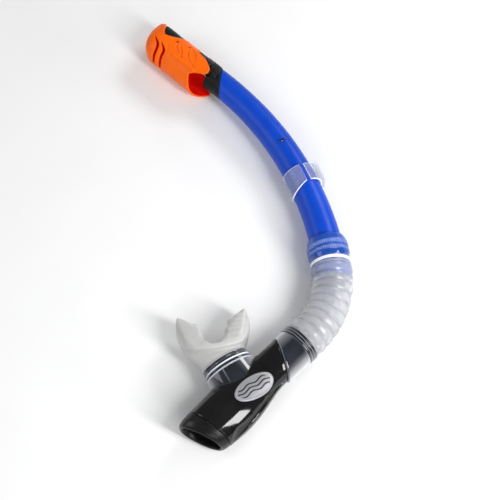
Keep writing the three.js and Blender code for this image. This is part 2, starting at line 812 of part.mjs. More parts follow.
// A bite tab: a short stalk from the shield, ending in a thicker pad.
function biteTab(side) {
  const stalk = box([side * 17 - 3.5, 13, -5], [side * 17 + 3.5, 31, 5]);
  const pad = box([side * 16 - 4.5, 28, -7], [side * 16 + 4.5, 33.5, 7]);
  return join(stalk, pad);
}

function makeMouthpiece() {
  const body = join(
    mouthNeck(0),
    atMouth(lipShield()),
    atMouth(biteTab(-1)),
    atMouth(biteTab(1)),
  );
  const passage = ovalLoft([
    { y: 24, middle: PORT_SHIFT, wide: PORT_WIDE + GAP, high: PORT_HIGH + GAP },
    { y: 33, middle: PORT_SHIFT, wide: PORT_WIDE + GAP, high: PORT_HIGH + GAP },
    { y: 40, slope: Math.tan(MOUTH_LEAN * 0.5), middle: 1, wide: 11.5, high: 7.5 },
    { y: 60, slope: Math.tan(MOUTH_LEAN), middle: 7, wide: 10, high: 7 },
  ]);
  return cut(body, passage);
}

// -------------------------------------------------------------------- assembly

function piece(name, geometry, material) {
  const mesh = new THREE.Mesh(geometry, material);
  mesh.name = name;
  return mesh;
}

const snorkel = new THREE.Group();

const guardFrame = new THREE.Group();
guardFrame.position.set(GUARD_FOOT.x, GUARD_FOOT.y, 0);
guardFrame.rotation.z = GUARD_FOOT.heading - Math.PI / 2;
guardFrame.add(piece('splash_guard', makeSplashGuard(), ORANGE));

const chamberFrame = new THREE.Group();
chamberFrame.rotation.z = CHAMBER_HEADING - Math.PI / 2;
chamberFrame.add(
  piece('lower_hose_ring', makeLowerRing(), CLEAR),
  piece('chamber_body', makeChamberBody(), CLEAR),
  piece('chamber_shell', makeChamberShell(), GLOSS_BLACK),
  piece('badge_plate', makeBadge(), SILVER),
  piece('purge_cap', makePurgeCap(), SATIN_BLACK),
  piece('purge_valve_seat', makeValveSeat(), SATIN_BLACK),
  piece('purge_valve', makePurgeValve(), SILICONE),
);

const portFrame = new THREE.Group();
portFrame.position.set(0, PORT_FOOT, 0);
portFrame.rotation.z = PORT_HEADING - CHAMBER_HEADING;
portFrame.add(
  piece('mouthpiece_band', makeMouthpieceBand(), CLEAR),
  piece('mouthpiece', makeMouthpiece(), SILICONE),
);
chamberFrame.add(portFrame);

snorkel.add(
  guardFrame,
  chamberFrame,
  piece('guard_core', makeGuardCore(), CORE_BLACK),
  piece('barrel', makeBarrel(), BARREL_BLUE),
  piece('strap_keeper', makeKeeper(), CLEAR),
  piece('upper_collar', makeUpperCollar(), CLEAR),
  piece('flex_hose', makeHose(), SILICONE),
);

// Lay the snorkel on z = 0, centred over the origin.
const extent = new THREE.Box3().setFromObject(snorkel, true);
const middle = extent.getCenter(new THREE.Vector3());
snorkel.position.set(-middle.x, -middle.y, -extent.min.z);

export default snorkel;
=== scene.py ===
import json
import math

import bmesh
import bpy
import numpy as np
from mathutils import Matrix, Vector


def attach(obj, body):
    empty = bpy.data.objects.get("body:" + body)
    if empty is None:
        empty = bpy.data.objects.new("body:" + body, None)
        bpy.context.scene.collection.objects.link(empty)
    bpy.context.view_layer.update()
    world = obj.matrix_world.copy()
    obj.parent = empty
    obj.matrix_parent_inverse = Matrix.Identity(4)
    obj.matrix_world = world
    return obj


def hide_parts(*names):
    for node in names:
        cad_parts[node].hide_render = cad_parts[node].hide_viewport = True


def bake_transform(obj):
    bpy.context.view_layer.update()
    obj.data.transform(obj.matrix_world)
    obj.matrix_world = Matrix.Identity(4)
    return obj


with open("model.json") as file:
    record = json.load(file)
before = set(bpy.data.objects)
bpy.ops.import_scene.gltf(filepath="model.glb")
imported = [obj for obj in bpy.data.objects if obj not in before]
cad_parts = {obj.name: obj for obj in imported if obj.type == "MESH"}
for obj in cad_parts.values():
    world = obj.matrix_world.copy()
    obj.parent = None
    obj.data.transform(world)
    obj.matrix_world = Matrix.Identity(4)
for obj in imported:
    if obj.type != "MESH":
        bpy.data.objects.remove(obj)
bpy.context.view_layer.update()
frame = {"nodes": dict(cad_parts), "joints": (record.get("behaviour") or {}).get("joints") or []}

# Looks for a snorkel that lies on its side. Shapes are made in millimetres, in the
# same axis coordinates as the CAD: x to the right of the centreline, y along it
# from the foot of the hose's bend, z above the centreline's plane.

MM = 0.001
TINY = 1e-9
FAR = 30  # a distance beyond the reach of any edge

# The centreline: straight chamber, tight hose bend, wide barrel bend, straight guard.
CHAMBER_HEADING = math.radians(45)
HOSE_BEND_RADIUS, HOSE_TURN = 72, math.radians(51.1)
HOSE_TOP = HOSE_BEND_RADIUS * HOSE_TURN
BARREL_BEND_RADIUS, BARREL_TURN = 311, math.radians(40.5)
BARREL_TOP = HOSE_TOP + BARREL_BEND_RADIUS * BARREL_TURN

# The hose_bend joint sits at the middle of the hose's bend.
HOSE_JOINT = next(j for j in frame["joints"] if j["name"] == "hose_bend")["pos_m"]
JOINT_HEADING = CHAMBER_HEADING + HOSE_TURN / 2
FOOT_X = HOSE_JOINT[0] / MM - HOSE_BEND_RADIUS * (
    math.sin(JOINT_HEADING) - math.sin(CHAMBER_HEADING))
FOOT_Y = HOSE_JOINT[1] / MM - HOSE_BEND_RADIUS * (
    math.cos(CHAMBER_HEADING) - math.cos(JOINT_HEADING))
AXIS_HEIGHT = HOSE_JOINT[2] / MM

GAP = 0.3  # between the edges of neighbouring covers
GUARD_LEFT, GUARD_RIGHT = -24.6, 11.8
GUARD_MIDDLE = (GUARD_LEFT + GUARD_RIGHT) / 2
GUARD_HALF_HEIGHT = 16.6
GUARD_SHOULDER, GUARD_TIP = 57, 87.8
GUARD_REACH = 17  # mean radius of the guard's section
CORE_NECK_RADIUS = 12.3
BARREL_LOW_RADIUS, BARREL_HIGH_RADIUS = 14, 11.9
BARREL_FOOT, BARREL_TAPER_END = 57, 250
SEAM_SLOPE, SEAM_DROP = 0.75, 1.3  # the oblique seam between barrel and core
KEEPER_CENTRE, KEEPER_BORE, KEEPER_HALF = 154.3, 13.6, 8.5
COLLAR_BOTTOM, COLLAR_TOP, COLLAR_RADIUS = 68, 92, 17.6
KNURLS = 56
NECK_RADIUS, NECK_TOP = 16.9, -15.3
SHELL_TOP, SHELL_TOP_SLOPE = -31.5, -0.5
SHELL_BOTTOM, SHELL_BOTTOM_SLOPE = -110.5, 0.15
PORT_FOOT, PORT_TURN = -73, math.radians(76.5)
PORT_SHIFT, PORT_WIDE, PORT_HIGH = 2, 15.5, 9.4
BADGE_X, BADGE_Y, BADGE_TURN = 4, -66.5, math.radians(-9)
BADGE_WIDE, BADGE_LONG = 8.6, 17.2


# ---- curves

def smooth_curve(keys, values, at):
    """Reads a smooth curve through the values at the given places."""
    keys = np.asarray(keys, float)
    values = np.asarray(values, float)
    slopes = np.gradient(values, keys)
    at = np.clip(at, keys[0], keys[-1])
    cell = np.clip(np.searchsorted(keys, at) - 1, 0, len(keys) - 2)
    step = keys[cell + 1] - keys[cell]
    t = (at - keys[cell]) / step
    start = (2 * t**3 - 3 * t**2 + 1) * values[cell]
    start += (t**3 - 2 * t**2 + t) * step * slopes[cell]
    end = (3 * t**2 - 2 * t**3) * values[cell + 1]
    end += (t**3 - t**2) * step * slopes[cell + 1]
    return start + end


def smooth_line(corners, steps=8):
    """A smooth line through the corners."""
    corners = np.asarray(corners, float)
    keys = np.arange(len(corners))
    at = np.linspace(0, len(corners) - 1, (len(corners) - 1) * steps + 1)
    return np.stack([smooth_curve(keys, column, at) for column in corners.T], 1)


def rounded(corners, radius, steps=4):
    """A closed outline with its corners rounded off."""
    corners = np.asarray(corners, float)
    line = []
    for before, here, after in zip(np.roll(corners, 1, 0), corners, np.roll(corners, -1, 0)):
        back, ahead = before - here, after - here
        reach = min(radius, np.linalg.norm(back) * 0.45, np.linalg.norm(ahead) * 0.45)
        start = here + back / np.linalg.norm(back) * reach
        end = here + ahead / np.linalg.norm(ahead) * reach
        for t in np.linspace(0, 1, steps + 1):
            line.append((1 - t)**2 * start + 2 * t * (1 - t) * here + t**2 * end)
    return np.array(line)


def line_distance(u, v, line):
    """Distance from each point to a line, and the share along it of the nearest place."""
    best = np.full(np.shape(u), np.inf)
    share = np.zeros(np.shape(u))
    for k, (a, b) in enumerate(zip(line[:-1], line[1:])):
        d = b - a
        t = np.clip(((u - a[0]) * d[0] + (v - a[1]) * d[1]) / max(d @ d, TINY), 0, 1)
        gap = np.hypot(u - a[0] - t * d[0], v - a[1] - t * d[1])
        nearer = gap < best
        best = np.where(nearer, gap, best)
        share = np.where(nearer, (k + t) / (len(line) - 1), share)
    return best, share


def outline_distance(u, v, outline):
    """Distance to a closed outline: positive outside it, negative inside."""
    closed = np.vstack([outline, outline[:1]])
    gap, _ = line_distance(u, v, closed)
    inside = np.zeros(np.shape(u), bool)
    for a, b in zip(closed[:-1], closed[1:]):
        if a[1] != b[1]:
            crosses = (a[1] > v) != (b[1] > v)
            inside ^= crosses & (u < a[0] + (v - a[1]) * (b[0] - a[0]) / (b[1] - a[1]))
    return np.where(inside, -gap, gap)


def oval_gap(across, along, wide, high):
    """Distance to an oval about the origin: positive outside it, negative inside."""
    share = np.hypot(across / wide, along / high)
    slope = np.hypot(across / wide**2, along / high**2) / np.maximum(share, TINY)
    return (share - 1) / slope


def oblique_gap(x, y, level, slope):
    """Distance above the oblique line y = level + slope * x."""
    return (y - level - slope * x) / math.hypot(1, slope)


def bump(distance, half_width):
    """A smooth rise of height 1 that fades beyond half_width."""
    return np.exp(-(distance / half_width)**2)


def moulded_line(x, y, corners, height, half_width):
    """The lift of a ridge along a line. A negative height makes a groove."""
    distance, _ = line_distance(x, y, smooth_line(corners))
    return height * bump(distance, half_width)


def near_any(places, levels, reach):
    """Which places lie within reach of one of the levels."""
    return (np.abs(np.subtract.outer(places, levels)) < reach).any(1)


# ---- surfaces
# A grid is an array of rows and columns of points, closed around its columns.
# A part is (points, faces, finishes). Finish 0 is the plain outside, 1 the inner
# side, 2 an edge or a mark that stands out, and 3 the crests of the collar's knurls.

def signed_power(value, exponent):
    return np.sign(value) * np.abs(value)**exponent


def oval_grid(along, middle, wide, high, power=2, slope=0, columns=128):
    """Oval sections along y. Each size is one number, or one for each row."""
    rows = len(along)
    y, middle, wide, high, power, slope = (
        np.broadcast_to(np.reshape(np.asarray(value, float), (-1, 1)), (rows, 1))
        for value in (along, middle, wide, high, power, slope)
    )
    angle = np.linspace(0, 2 * math.pi, columns, endpoint=False)
    x = middle + wide * signed_power(np.sin(angle), 2 / power)
    z = high * signed_power(np.cos(angle), 2 / power)
    return np.stack([x, y + slope * (x - middle), z], -1)


def round_grid(along, radius, columns=128):
    return oval_grid(along, 0, radius, radius, columns=columns)


def axes(grid):
    return np.moveaxis(grid, -1, 0)


def grid_normals(grid):
    along = np.gradient(grid, axis=0)
    around = np.roll(grid, -1, 1) - np.roll(grid, 1, 1)
    normals = np.cross(along, around)
    outward = grid - grid.mean(1, keepdims=True)
    if (normals * outward).sum() < 0:
        normals = -normals
    return unit(normals)


def unit(vectors):
    return vectors / np.maximum(np.linalg.norm(vectors, axis=-1, keepdims=True), TINY)


def grid_cells(place):
    """The corners of each cell between neighbouring rows."""
    ahead = np.roll(place, -1, 1)
    return np.stack([place[:-1], ahead[:-1], ahead[1:], place[1:]], -1).reshape(-1, 4)


def trimmed_shell(grid, spare, thickness, rim=0.4, lift=0.0, border=0.0):
    """A shell under the grid, kept where spare is positive, with rounded edges.

    spare is the distance to the shell's edge, and lift moves its outside outwards.
    The outside nearer than border to the edge has finish 2.
    """
    place = np.arange(spare.size).reshape(spare.shape)
    cells = grid_cells(place)
    lift = np.broadcast_to(lift, spare.shape).ravel()
    spare = spare.ravel()
    kept = (spare[cells] > 0).sum(1)
    sheet = cells[kept == 4].tolist()
    crossings = {}
    edges = []
    for cell in cells[(kept > 0) & (kept < 4)].tolist():
        polygon, cut = clipped_cell(cell, spare, crossings)
        sheet.append(polygon)
        edges += cut
    near, far = np.array(list(crossings) or [(0, 0)]).T
    share = spare[near] / np.where(spare[near] == spare[far], 1, spare[near] - spare[far])

    def with_crossings(values):
        part = share.reshape((-1,) + (1,) * (values.ndim - 1))
        return np.concatenate([values, values[near] * (1 - part) + values[far] * part])

    points = with_crossings(grid.reshape(-1, 3))
    normals = unit(with_crossings(grid_normals(grid).reshape(-1, 3)))
    inward = rim - np.clip(with_crossings(spare), 0, rim)
    drop = (rim - np.sqrt(rim**2 - inward**2))[:, None]
    outer = points + normals * (with_crossings(lift)[:, None] - drop)
    inner = points - normals * (thickness - drop)
    count = len(points)
    walls = [[a, b, b + count, a + count] for a, b in edges]
    faces = sheet + walls + [[i + count for i in reversed(face)] for face in sheet]
    room = with_crossings(spare)
    finishes = [2 if room[face].max() < border else 0 for face in sheet]
    finishes += [2 if border else 0] * len(walls) + [1] * len(sheet)
    return np.concatenate([outer, inner]), faces, finishes


def clipped_cell(cell, spare, crossings):
    """The kept part of a cell, and its cut edges. crossings numbers the new points."""
    first = next(i for i in range(4) if spare[cell[i]] > 0)
    cell = cell[first:] + cell[:first]
    polygon, leaving, entering = [], [], []
    for a, b in zip(cell, cell[1:] + cell[:1]):
        if spare[a] > 0:
            polygon.append(a)
        if (spare[a] > 0) != (spare[b] > 0):
            key = (min(a, b), max(a, b))
            point = crossings.setdefault(key, len(spare) + len(crossings))
            polygon.append(point)
            (leaving if spare[a] > 0 else entering).append(point)
    return polygon, list(zip(leaving, entering))


def ring(grid, bright=None):
    """A closed ring: the grid's last row joins its first.

    The faces after each row that is marked bright have finish 2, which every piece uses for a
    painted highlight.
    """
    rows, columns = grid.shape[:2]
    place = np.arange(rows * columns).reshape(rows, columns)
    faces = grid_cells(np.concatenate([place, place[:1]])).tolist()
    marks = np.zeros(rows, bool) if bright is None else bright
    return grid.reshape(-1, 3), faces, np.repeat(2 * marks.astype(int), columns).tolist()


def capped(grid):
    """A solid: the grid's first and last rows are closed by flat faces."""
    place = np.arange(grid.shape[0] * grid.shape[1]).reshape(grid.shape[:2])
    faces = grid_cells(place).tolist() + [place[0].tolist(), place[-1].tolist()[::-1]]
    return grid.reshape(-1, 3), faces, [0] * len(faces)


def lathe(outline, columns=160, ripple=None, bright=None):
    """A closed outline of [radius, y] turned about the y axis."""
    grid = round_grid(outline[:, 1], outline[:, 0], columns)
    if ripple is not None:
        angle = np.arctan2(grid[..., 2], grid[..., 0])
        growth = 1 + ripple(outline[:, :1], outline[:, 1:], angle) / outline[:, :1]
        grid[..., 0] *= growth
        grid[..., 2] *= growth
    return ring(grid, bright)


def finished(part, finish):
    """The same part, with one finish all over."""
    points, faces, _ = part
    return points, faces, [finish] * len(faces)


def face_middles(part):
    """The middle of each face of a part whose faces all have four corners."""
    points, faces, _ = part
    return points[np.array(faces)].mean(1)


def joined(*parts):
    points, faces, finishes = [], [], []
    for part_points, part_faces, part_finishes in parts:
        start = sum(len(group) for group in points)
        points.append(part_points)
        faces += [[i + start for i in face] for face in part_faces]
        finishes += part_finishes
    return np.concatenate(points), faces, finishes


def strip(path, thickness, low, high):
    """A flat band along a path of [x, z], from y = low to y = high."""
    ahead = unit(np.gradient(path, axis=0))
    side = np.stack([-ahead[:, 1], ahead[:, 0]], 1)
    unit_section = [[-0.5, 0], [0.5, 0], [0.5, 1], [-0.5, 1]]
    section = rounded(unit_section, 0.06, 2)
    rows = []
    for place, across in zip(path, side):
        flat = place + across * section[:, :1] * thickness
        rows.append(np.stack([flat[:, 0], low + (high - low) * section[:, 1], flat[:, 1]], 1))
    return capped(np.array(rows))


# ---- frames

def centreline(along):
    """The centreline's x, y and heading at each distance along it."""
    hose = np.clip(along, 0, HOSE_TOP)
    barrel = np.clip(along - HOSE_TOP, 0, BARREL_TOP - HOSE_TOP)
    rest = along - hose - barrel
    turn = CHAMBER_HEADING + hose / HOSE_BEND_RADIUS
    heading = turn + barrel / BARREL_BEND_RADIUS
    x = HOSE_BEND_RADIUS * (np.sin(turn) - math.sin(CHAMBER_HEADING))
    x += BARREL_BEND_RADIUS * (np.sin(heading) - np.sin(turn)) + rest * np.cos(heading)
    y = HOSE_BEND_RADIUS * (math.cos(CHAMBER_HEADING) - np.cos(turn))
    y += BARREL_BEND_RADIUS * (np.cos(turn) - np.cos(heading)) + rest * np.sin(heading)
    return x, y, heading


def to_frame(points):
    """Axis coordinates in millimetres to the shared frame in metres."""
    x, y, heading = centreline(points[:, 1])
    return MM * np.stack([
        FOOT_X + x + points[:, 0] * np.sin(heading),
        FOOT_Y + y - points[:, 0] * np.cos(heading),
        AXIS_HEIGHT + points[:, 2],
    ], 1)


def shifted(part, along):
    """The same part, further along the centreline."""
    points, faces, finishes = part
    return points + [0, along, 0], faces, finishes


def turned(part, angle, shift):
    """The same part, turned about z and then shifted by [x, y]."""
    points, faces, finishes = part
    x, y, z = points.T
    turned_x = x * math.cos(angle) - y * math.sin(angle) + shift[0]
    turned_y = x * math.sin(angle) + y * math.cos(angle) + shift[1]
    return np.stack([turned_x, turned_y, z], 1), faces, finishes


def at_port(part):
    """Carries a part from the mouthpiece port's own frame to the chamber's."""
    return turned(part, PORT_TURN, (0, PORT_FOOT))


def add_object(name, data):
    added = bpy.data.objects.new(name, data)
    bpy.context.scene.collection.objects.link(added)
    return added


def add_piece(node, part, body, materials):
    """Adds a mesh that stands for a CAD node. With no body, it is attached to none."""
    merge_distance, sharp_angle = 0.01 * MM, math.radians(50)
    points, faces, finishes = part
    mesh = bpy.data.meshes.new(node + "_shown")
    mesh.from_pydata(to_frame(points).tolist(), [], faces)
    mesh.polygons.foreach_set("material_index", finishes)
    for material in materials:
        mesh.materials.append(material)
    work = bmesh.new()
    work.from_mesh(mesh)
    bmesh.ops.remove_doubles(work, verts=work.verts, dist=merge_distance)
    loose = [vertex for vertex in work.verts if not vertex.link_faces]
    bmesh.ops.delete(work, geom=loose, context="VERTS")
    bmesh.ops.recalc_face_normals(work, faces=work.faces)
    work.to_mesh(mesh)
    work.free()
    mesh.shade_smooth()
    mesh.set_sharp_from_angle(angle=sharp_angle)
    shown = add_object(node + "_shown", mesh)
    if body:
        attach(shown, body)
    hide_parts(node)
    return shown


# ---- materials

class Finish:
    """A Principled material whose inputs are fed by small procedural networks."""

    def __init__(self, name, colour, roughness, **constants):
        """constants are more inputs by name, with _ for each space."""
        self.material = bpy.data.materials.new(name)
        self.material.use_nodes = True
        self.tree = self.material.node_tree
        self.shader = self.tree.nodes["Principled BSDF"]
        self.place = self.tree.nodes.new("ShaderNodeTexCoord").outputs["Object"]
        self.colour = colour
        constants.update(Base_Color=(*colour, 1), Roughness=roughness)
        self.set_inputs(self.shader, constants)

    def link(self, output, socket):
        self.tree.links.new(output, socket)

    def set_inputs(self, node, values):
        for socket, value in values.items():
            node.inputs[socket.replace("_", " ")].default_value = value

    def add_node(self, kind, **values):
        node = self.tree.nodes.new("ShaderNode" + kind)
        self.set_inputs(node, values)
        return node

    def noise(self, grain, detail=4):
        """Noise with features about grain millimetres wide."""
        node = self.add_node("TexNoise", Scale=1 / (grain * MM), Detail=detail)
        self.link(self.place, node.inputs["Vector"])
        return node.outputs["Fac"]

    def ranged(self, source, low, high, start=0.3, end=0.7):
        """low to high, as the source goes from start to end."""
        node = self.add_node(
            "MapRange", From_Min=start, From_Max=end, To_Min=low, To_Max=high)
        self.link(source, node.inputs["Value"])
        return node.outputs["Result"]

    def mixed(self, share, first, second):
        """A colour between two, by a share. Either colour may be a socket."""
        node = self.add_node("Mix")
        node.data_type = "RGBA"
        self.link(share, node.inputs[0])
        for socket, colour in ((node.inputs[6], first), (node.inputs[7], second)):
            if isinstance(colour, tuple):
                socket.default_value = (*colour, 1)
            else:
                self.link(colour, socket)
        return node.outputs[2]

    def painted(self, tone):
        """Takes a socket as the base colour, which the next step can build on."""
        self.tone = tone
        self.link(tone, self.shader.inputs["Base Color"])
        return self

    def drift(self, amount, grain=14):
        """Slow changes of tone, amount either way."""
        light = tuple(min(1, c * (1 + amount) + amount * 0.02) for c in self.colour)
        dark = tuple(c * (1 - amount) for c in self.colour)
        return self.painted(self.mixed(self.ranged(self.noise(grain), 0, 1), dark, light))

    def painted_grazing_sheen(self, colour, start=0.15, end=0.7):
        """Painted sheen: another colour as Facing goes from start to end. It follows drift()."""
        blend, most = 0.35, 0.9
        weight = self.add_node("LayerWeight", Blend=blend)
        share = self.ranged(weight.outputs["Facing"], 0, most, start, end)
        return self.painted(self.mixed(share, self.tone, colour))

    def edge_wear_and_highlight(self, colour, strength=0.5):
        """Lighter convex edges, broken up by noise: edge wear on the opaque plastics, painted
        edge highlights on the clear ones. It follows drift().
        """
        blunt, sharp, patch = 0.53, 0.62, 3
        geometry = self.add_node("NewGeometry")
        edge = self.ranged(geometry.outputs["Pointiness"], 0, strength, blunt, sharp)
        patchy = self.add_node("Math")
        patchy.operation = "MULTIPLY"
        self.link(edge, patchy.inputs[0])
        self.link(self.ranged(self.noise(patch), 0.3, 1), patchy.inputs[1])
        return self.painted(self.mixed(patchy.outputs[0], self.tone, colour))

    def polish(self, low, high, grain=6):
        """Uneven roughness."""
        rough = self.ranged(self.noise(grain), low, high)
        self.link(rough, self.shader.inputs["Roughness"])
        return self

    def texture(self, grain, depth, strength=0.3):
        """A fine bump, depth millimetres deep."""
        node = self.add_node("Bump", Strength=strength, Distance=depth * MM)
        self.link(self.noise(grain, 3), node.inputs["Height"])
        self.link(node.outputs["Normal"], self.shader.inputs["Normal"])
        return self


def orange_plastic():
    finish = Finish("guard_orange", (0.93, 0.138, 0.0005), 0.38, Specular_IOR_Level=0.15)
    finish.drift(0.05).edge_wear_and_highlight((1.0, 0.3, 0.05), 0.5)
    return finish.polish(0.32, 0.44).texture(0.5, 0.04).material


# Painted shade and painted glow: the red of the guard's inner faces stands for the orange wall in
# shade, and its faint red emission is a painted glow.
def guard_inside_painted_shade_glow():
    finish = Finish(
        "guard_inner_painted_shade_glow", (0.85, 0.006, 0.0005), 0.45, Specular_IOR_Level=0.3,
        Emission_Color=(0.8, 0.004, 0, 1), Emission_Strength=0.12,
    )
    return finish.drift(0.12).polish(0.38, 0.52).texture(0.6, 0.04).material


def core_plastic():
    finish = Finish("core_black", (0.005, 0.005, 0.006), 0.4, Specular_IOR_Level=0.17)
    finish.drift(0.2).edge_wear_and_highlight((0.1, 0.1, 0.105), 0.6)
    return finish.polish(0.36, 0.52).texture(0.45, 0.05, 0.5).material


def barrel_plastic():
    finish = Finish("barrel_blue", (0.0, 0.053, 0.49), 0.36, Specular_IOR_Level=0.2)
    finish.drift(0.07, 30).edge_wear_and_highlight((0.06, 0.2, 0.75), 0.3)
    return finish.polish(0.32, 0.42, 9).texture(1.4, 0.012).material


def painted_barrel_view():
    """Painted light: the barrel's blue, lightened as it looks through the clear pieces around it.
    """
    finish = Finish("barrel_view_painted_light", (0.01, 0.12, 0.62), 0.4, Specular_IOR_Level=0.2)
    return finish.drift(0.08, 8).polish(0.34, 0.48).texture(1.4, 0.02).material


# Painted shade: a dark navy for the shade in the lug's slot, on a lug of the barrel's blue
# plastic.
def lug_painted_shade():
    finish = Finish("lug_blue_painted_shade", (0.0, 0.01, 0.13), 0.12)
    finish.drift(0.1, 4).edge_wear_and_highlight((0.3, 0.4, 0.8), 0.5)
    return finish.polish(0.1, 0.16).texture(1, 0.01).material


def keeper_film():
    """Thin clear plastic, seen straight through. Alpha is how much its haze hides."""
    finish = Finish("keeper_clear", (0.46, 0.5, 0.66), 0.08, Alpha=0.22)
    return finish.drift(0.03).polish(0.048, 0.12).texture(2.5, 0.02, 0.2).material


def painted_edge_highlight():
    """Painted highlight: a clear plastic's cut edge, coloured pale for the light inside it that
    comes out there.
    """
    finish = Finish("clear_edge_highlight", (0.86, 0.9, 0.97), 0.25, Alpha=0.9)
    return finish.drift(0.04).polish(0.2, 0.32).texture(0.8, 0.02).material


def knurl_painted_glow():
    """Painted light: the collar's knurls, coloured pale blue for the blue of the barrel behind
    them that they scatter.
    """
    finish = Finish("collar_knurl_painted_glow", (0.38, 0.52, 0.88), 0.3, Alpha=0.6)
    return finish.drift(0.05).polish(0.24, 0.38).texture(0.8, 0.02).material


def collar_plastic():
    finish = Finish("collar_clear", (0.82, 0.87, 1.0), 0.06, Transmission_Weight=1.0, IOR=1.45)
    return finish.drift(0.02).polish(0.03, 0.102).texture(2.5, 0.01, 0.2).material


def clear_body_painted_shade():
    """Painted shade: the clear chamber is coloured dark for the shaded hollow inside it. Its
    wall's paler colour at a grazing view is a painted reflection, and its lighter edges are
    painted highlights.
    """
    finish = Finish("body_clear", (0.007, 0.009, 0.016), 0.05, IOR=1.5, Coat_Weight=0.3)
    finish.drift(0.3).painted_grazing_sheen((0.62, 0.63, 0.66), 0.08, 0.6).edge_wear_and_highlight((0.4, 0.43, 0.5), 0.7)
    return finish.polish(0.03, 0.08).texture(2.5, 0.004, 0.2).material


def painted_shade_ring():
    """Painted shade: the clear ring over the dark space inside the chamber's neck is coloured
    dark for that shade. Its paler colour at a grazing view is a painted reflection, and its
    lighter edges are painted highlights.
    """
    finish = Finish("painted_shade_ring", (0.012, 0.014, 0.02), 0.1, Alpha=0.93)
    finish.drift(0.1).painted_grazing_sheen((0.34, 0.35, 0.38)).edge_wear_and_highlight((0.5, 0.52, 0.56), 0.9)
    return finish.polish(0.1, 0.2).texture(1.5, 0.01).material


# Painted highlight: the pale lines along the crests of the lower ring's ribs.
def ring_crest_highlight():
    finish = Finish("ring_crest_highlight", (0.3, 0.32, 0.36), 0.2, Alpha=0.85)
    return finish.drift(0.1).polish(0.14, 0.26).texture(1.2, 0.02).material


def silicone(name, tint, rough, clearness):
    """Milky to clear silicone. clearness is the share of light that passes through."""
    milky_depth = 6 * MM
    finish = Finish(
        name, tint, rough, Transmission_Weight=clearness, IOR=1.41,
        Subsurface_Weight=0.4, Subsurface_Radius=(milky_depth,) * 3, Subsurface_Scale=1.0,
    )
    return finish.drift(0.03).polish(rough * 0.75, rough * 1.3).texture(1.2, 0.03, 0.25).material


def shell_plastic():
    finish = Finish("shell_black", (0.0015, 0.0015, 0.002), 0.06, Specular_IOR_Level=0.4)
    finish.drift(0.2).edge_wear_and_highlight((0.03, 0.03, 0.033), 0.4)
    return finish.polish(0.05, 0.1, 10).texture(1.6, 0.002, 0.2).material


def cap_plastic():
    finish = Finish("cap_black", (0.004, 0.004, 0.0045), 0.3, Specular_IOR_Level=0.26)
    finish.drift(0.2).edge_wear_and_highlight((0.1, 0.1, 0.11), 0.6)
    return finish.polish(0.24, 0.36).texture(0.5, 0.02, 0.3).material


def badge_metal():
    finish = Finish("badge_silver", (0.3, 0.3, 0.32), 0.4, Metallic=0.4)
    finish.drift(0.06, 8).edge_wear_and_highlight((0.85, 0.85, 0.88), 0.5)
    return finish.polish(0.36, 0.5, 3).texture(0.4, 0.02).material


def badge_paint():
    finish = Finish("badge_dark", (0.012, 0.012, 0.014), 0.35)
    return finish.drift(0.2).polish(0.3, 0.42).texture(0.5, 0.02).material


# Painted shade: the near-black colour of the inner faces, where the hollow inside is in shade.
def painted_inner_shade():
    finish = Finish("painted_inner_shade", (0.003, 0.005, 0.014), 0.2)
    return finish.drift(0.25).polish(0.16, 0.28).texture(0.8, 0.02).material


# ---- splash guard and core

def guard_grid():
    """The guard's outer surface: an oval tube whose left side sweeps in to the tip."""
    tip_length, tip_width = GUARD_TIP - GUARD_SHOULDER, 1.5
    closer = 1 - (1 - np.linspace(0, 1, 80))**1.8
    tip = GUARD_SHOULDER + closer * tip_length
    along = np.concatenate([np.arange(0, GUARD_SHOULDER, 0.5), tip])
    over = np.clip((along - GUARD_SHOULDER) / tip_length, 0, 1)
    sweep = 1 - (1 - over**4.2)**0.68
    left = GUARD_LEFT + (GUARD_RIGHT - GUARD_LEFT - tip_width) * sweep
    right = GUARD_RIGHT - tip_width * over**10
    high = GUARD_HALF_HEIGHT * np.sqrt(1 - over**2.8)
    middle, wide = (left + right) / 2, (right - left) / 2
    return oval_grid(along, middle, wide, high, 2.15 + over, columns=264)


def window_gap(grid):
    """Distance to the window that shows the core's spine, negative inside it."""
    edge = [
        [82, 12], [77.5, 37], [72.2, 64.5], [67.6, 75.4], [62.6, 69.7], [58.5, 60.8],
        [54.5, 44.8], [50.8, 30], [49.6, 18], [46, 14], [40, 14], [35.6, 19], [31.3, 46.8],
        [21.1, 55.6], [12.5, 71.4], [10, 76.5], [8.4, 83], [7.2, 92], [0, 94],
    ]
    side = smooth_line([[y, GUARD_REACH * math.radians(angle)] for y, angle in edge])
    outline = np.vstack([side, [[-20, 28], [-20, -8], [82, -8]]])
    around = np.abs(np.arctan2(grid[..., 2], grid[..., 0] - GUARD_MIDDLE))
    return outline_distance(grid[..., 1], GUARD_REACH * around, outline)


def rim_gap(grid):
    """Distance to the rim of the guard's foot, around the air inlet."""
    rim = [
        [0, 5], [76, 6], [84, 6.8], [92, 7.3], [105, 9.1], [119, 16.7],
        [133, 21.3], [148, 19.8], [165, 18], [180, 16.8], [195, 15.6], [209, 13.8],
        [230, 10.6], [250, 7.6], [270, 6.4], [300, 8], [360, 14],
    ]
    line = smooth_line([[GUARD_REACH * math.radians(angle), y] for angle, y in rim])
    outline = np.vstack([line, [[120, -30], [-10, -30]]])
    around = np.arctan2(grid[..., 2], grid[..., 0] - GUARD_MIDDLE) % (2 * math.pi)
    return outline_distance(GUARD_REACH * around, grid[..., 1], outline)


